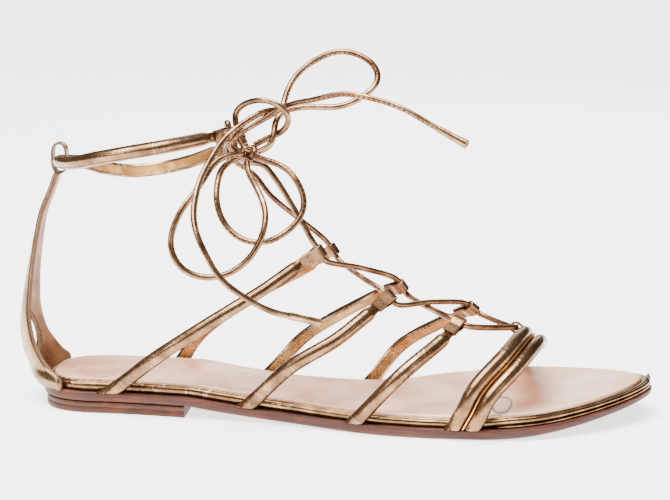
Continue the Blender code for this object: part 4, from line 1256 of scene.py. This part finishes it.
def heelStay():
    low, half, columns = stayRows[0][0] + stay["start"], stay["thickness"] / 2, stay["columns"]
    rings = []
    for r in range(stay["rows"] + 1):
        share = low + (1 - low) * r / stay["rows"]
        outside, inside = [], []
        for c in range(columns + 1):
            across = -1 + 2 * c / columns
            spot, away = stayPoint(share, across), stayNormal(share, across)
            if away.x > 0.9:
                away = -away
            rim = 1 - max(0, abs(across) - stay["thinFrom"]) * stay["thinning"]  # thinner at its edges
            outside.append(spot + away * half * rim)
            inside.append(spot - away * half * rim)
        for point in outside + inside:
            point.z = max(point.z, outsoleTop(point.x) + upper["overOutsole"])
        rings.append(outside + inside[::-1])
    body = loft("heel_stay_moulded", rings, [0] * columns + [2] + [1] * columns + [2], sharp=35,
                materials=(stayGold, heelLining, cutEdge))
    cutter = slitCutter()
    body.select_set(True)
    bpy.context.view_layer.objects.active = body
    cut = body.modifiers.new("slit", "BOOLEAN")
    cut.operation = "DIFFERENCE"
    cut.solver = "EXACT"
    cut.object = cutter
    cut.material_mode = "TRANSFER"
    bpy.ops.object.modifier_apply(modifier=cut.name)
    bpy.data.objects.remove(cutter)

    # rolled edges: two beads along the sides, one round the slit
    edges = []
    for across in (-stay["beadAcross"], stay["beadAcross"]):
        path, facing = [], []
        for r in range(stay["beadRows"]):
            share = low + 0.005 + (0.985 - low) * r / (stay["beadRows"] - 1)
            facing.append(stayNormal(share, across))
            path.append(stayPoint(share, across) + facing[-1] * half * 0.75)
        edges.append((path, facing, stay["bead"]))
    path = []
    for k in range(61):
        y, z = slitPoint(2 * math.pi * k / 60)
        share = z / stay["height"]
        across = y / (shape(stayRows, 2, share) * sole["ballHalf"])
        path.append(stayPoint(share, across) + stayNormal(share, across) * half * 0.8)
    edges.append((path, [Vector((-1, 0, 0))] * len(path), stay["slitBead"]))
    beads = []
    for number, (path, facing, radius) in enumerate(edges):
        sections = [ovalSection(radius, 0.85, 10)] * len(path)
        beads.append(loft("bead" + str(number), swept(path, facing, sections), materials=(stayGold,)))
    whole = joined("heel_stay_moulded", [body, stayLink(), *beads])
    finishPiece(whole, "gold_leather", ["heel_stay"])


heelStay()
print("heel stay made")


def ankleStrap():
    rows = [anklePlace(row) for row in ankleRows]
    middle = Vector((along(ankle["middle"]), 0, 0))

    def facings(path):
        made = []
        for point in path:
            away = point - middle
            away.z = 0
            made.append(away.normalized())
        return made

    coarse = smoothPath(rows, ankle["spacing"])
    coarseFacing = facings(coarse)
    ends = []
    for end, step in ((0, 1), (len(coarse) - 1, -1)):
        out = (coarse[end] - coarse[end + step]).normalized()
        outward = squareTo(coarseFacing[end], out)
        axis = out.cross(outward).normalized()
        if axis.z > 0:
            axis = -axis
        ends.append((coarse[end] + out * upper["loopReach"] * loopRadius, out, outward, axis))
    path = smoothPath(rows, upper["fine"])
    total = pathLength(path)
    used, sections = [], []
    for i, point in enumerate(path):
        done = total * i / (len(path) - 1)
        left = min(done, total - done)
        if left < upper["tabGap"]:
            continue
        width, thickness = narrowed(ankle["width"], ankle["thickness"], left)
        section, slots = rolledSection(width, thickness, crumpled("ankle", done, thickness))
        sections.append(section)
        used.append(point)
    pieces = [loft("ankle_strap_rolled", swept(used, facings(used), sections), slots, sharp=35,
                   materials=(rolledGold, lining))]
    for number, (centre, out, outward, axis) in enumerate(ends):
        pieces += loopEnd("ankle" + str(number), centre, out, outward, axis, ankle["legs"], ankle["sewn"])
    whole = joined("ankle_strap_rolled", pieces)
    finishPiece(whole, "gold_leather", ["ankle_strap"])
    return [(centre, axis) for centre, out, outward, axis in ends]


ankleLoops = ankleStrap()
print("ankle strap made")


def through(loop):
    centre, axis = loop
    reach = upper["tabWidth"] / 2 + lace["straight"]
    return [centre - axis * reach, centre, centre + axis * reach]


def laceRuns():
    # the two runs from the knot through the loops, crossing twice, to the vamp strap
    lift = Vector((0, 0, lace["crossingLift"] * lace["diameter"]))
    centre, axis = vampLoop
    axis = axis if axis.y > 0 else -axis
    reach = upper["tabWidth"] / 2 + lace["straight"]
    for side, order, ankleLoop, (above, below) in zip((-1, 1), laceOrder, ankleLoops, runStarts):
        first, second, third = (through(loops[name]) for name in order)
        above = inMetres(above)
        points = [atKnot(above[0]), *above, *through(ankleLoop), *inMetres(below)]
        points += first + [(first[-1] + second[0]) / 2 - lift * side]
        points += second + [(second[-1] + third[0]) / 2 + lift * side]
        points += third
        into = centre + axis * side * reach
        turn = Vector((lace["vampBend"][0], side * lace["vampBend"][1], 0)) * mm
        points += [into + turn, into - axis * side * lace["straight"], centre - axis * side * boreRadius / 3]
        path = eased(points, lace["runStep"], lace["runEasing"], lace["spacing"])
        name = "lace_run_outer" if side < 0 else "lace_run_inner"
        piece = cordPiece(name, path, lace["width"] / 2)
        finishPiece(piece, "lace_leather", ["lace_crossings"], laceGold)
        print(name, "length in mm:", round(pathLength(path) / mm))


laceRuns()


def sockStitches():
    # a row of dark stitches beside the sock's edge round the heel
    pitch, dash = sock["stitchPitch"], sock["stitch"]
    shares = [(0.150 - 0.002 * k, -1) for k in range(74)] + [(0.004 + 0.002 * k, 1) for k in range(130)]
    pairs, begin, last, run = [], None, None, 0.0
    for share, side in shares:
        spot = edgePoint(share, side, sole["insoleInset"] - sock["stitchOut"])
        spot = Vector((spot.x, spot.y, midsoleTop(spot.x) + 0.12 * mm))
        if last is not None:
            run += (spot - last).length
        last = spot
        if begin is None and run % pitch < dash:
            begin = spot
        elif begin is not None and run % pitch >= dash:
            pairs.append((begin, spot, Vector((0, 0, 1))))
            begin = None
    row = stitches("sock_stitches", pairs, sock["stitchThick"])
    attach(row, "root")


sockStitches()
print("stitches made")


# Floor and light: matt paper sweep, evenly pale
paleFloor, tree, place = newMaterial("matt_paper_sweep", {"Base Color": paint("#F1EFEC"), "Roughness": 0.85,
                                                          "Emission Color": paint("#FFFFFF"),
                                                          "Emission Strength": 2.2})
paper = add(tree, "TexNoise", {"Vector": place, "Scale": 1 / (400 * mm), "Detail": 2})
pale = add(tree, "ValToRGB", {0: paper}, stops=[(0.3, "#F9F9F8"), (0.7, "#FCFCFB")])
coat(tree, {"Base Color": pale}, [])
bpy.ops.mesh.primitive_grid_add(x_subdivisions=4, y_subdivisions=4, size=24, location=(0, 0, 0))
floor = bpy.context.object
floor.name = "paper_sweep"
floor.data.materials.append(paleFloor)

studio = [
    # name, place, size, watts, aimed at
    ("overhead", (0.00, -0.10, 1.05), 0.75, 13, (0.09, 0, 0)),
    ("front_left", (-0.80, -0.95, 0.75), 0.35, 3.5, (0.09, 0, 0.03)),
    ("front_right", (1.00, -0.80, 0.55), 0.30, 1.0, (0.09, 0, 0.03)),
    ("behind", (0.10, 1.10, 0.60), 0.7, 4, (0.09, 0, 0.03)),
]
for name, place, size, power, aim in studio:
    heading = (Vector(aim) - Vector(place)).to_track_quat("-Z", "Y").to_euler()
    bpy.ops.object.light_add(type="AREA", location=place, rotation=heading)
    light = bpy.context.object
    light.name = name
    light.data.size = size
    light.data.energy = power
    light.data.color = (1.0, 0.985, 0.965)
even = {"tilt": (12, -14, 0), "strength": 7.5, "spread": 50}
bpy.ops.object.light_add(type="SUN", location=(0, 0, 2), rotation=[math.radians(a) for a in even["tilt"]])
evenLight = bpy.context.object
evenLight.name = "even_light"
evenLight.data.energy = even["strength"]
evenLight.data.angle = math.radians(even["spread"])
world = bpy.data.worlds.new("soft_room")
bpy.context.scene.world = world
world.use_nodes = True
world.node_tree.nodes["Background"].inputs["Color"].default_value = paint("#B9B2AA")
world.node_tree.nodes["Background"].inputs["Strength"].default_value = 0.25
bpy.ops.object.select_all(action="DESELECT")
print("floor and lights made")
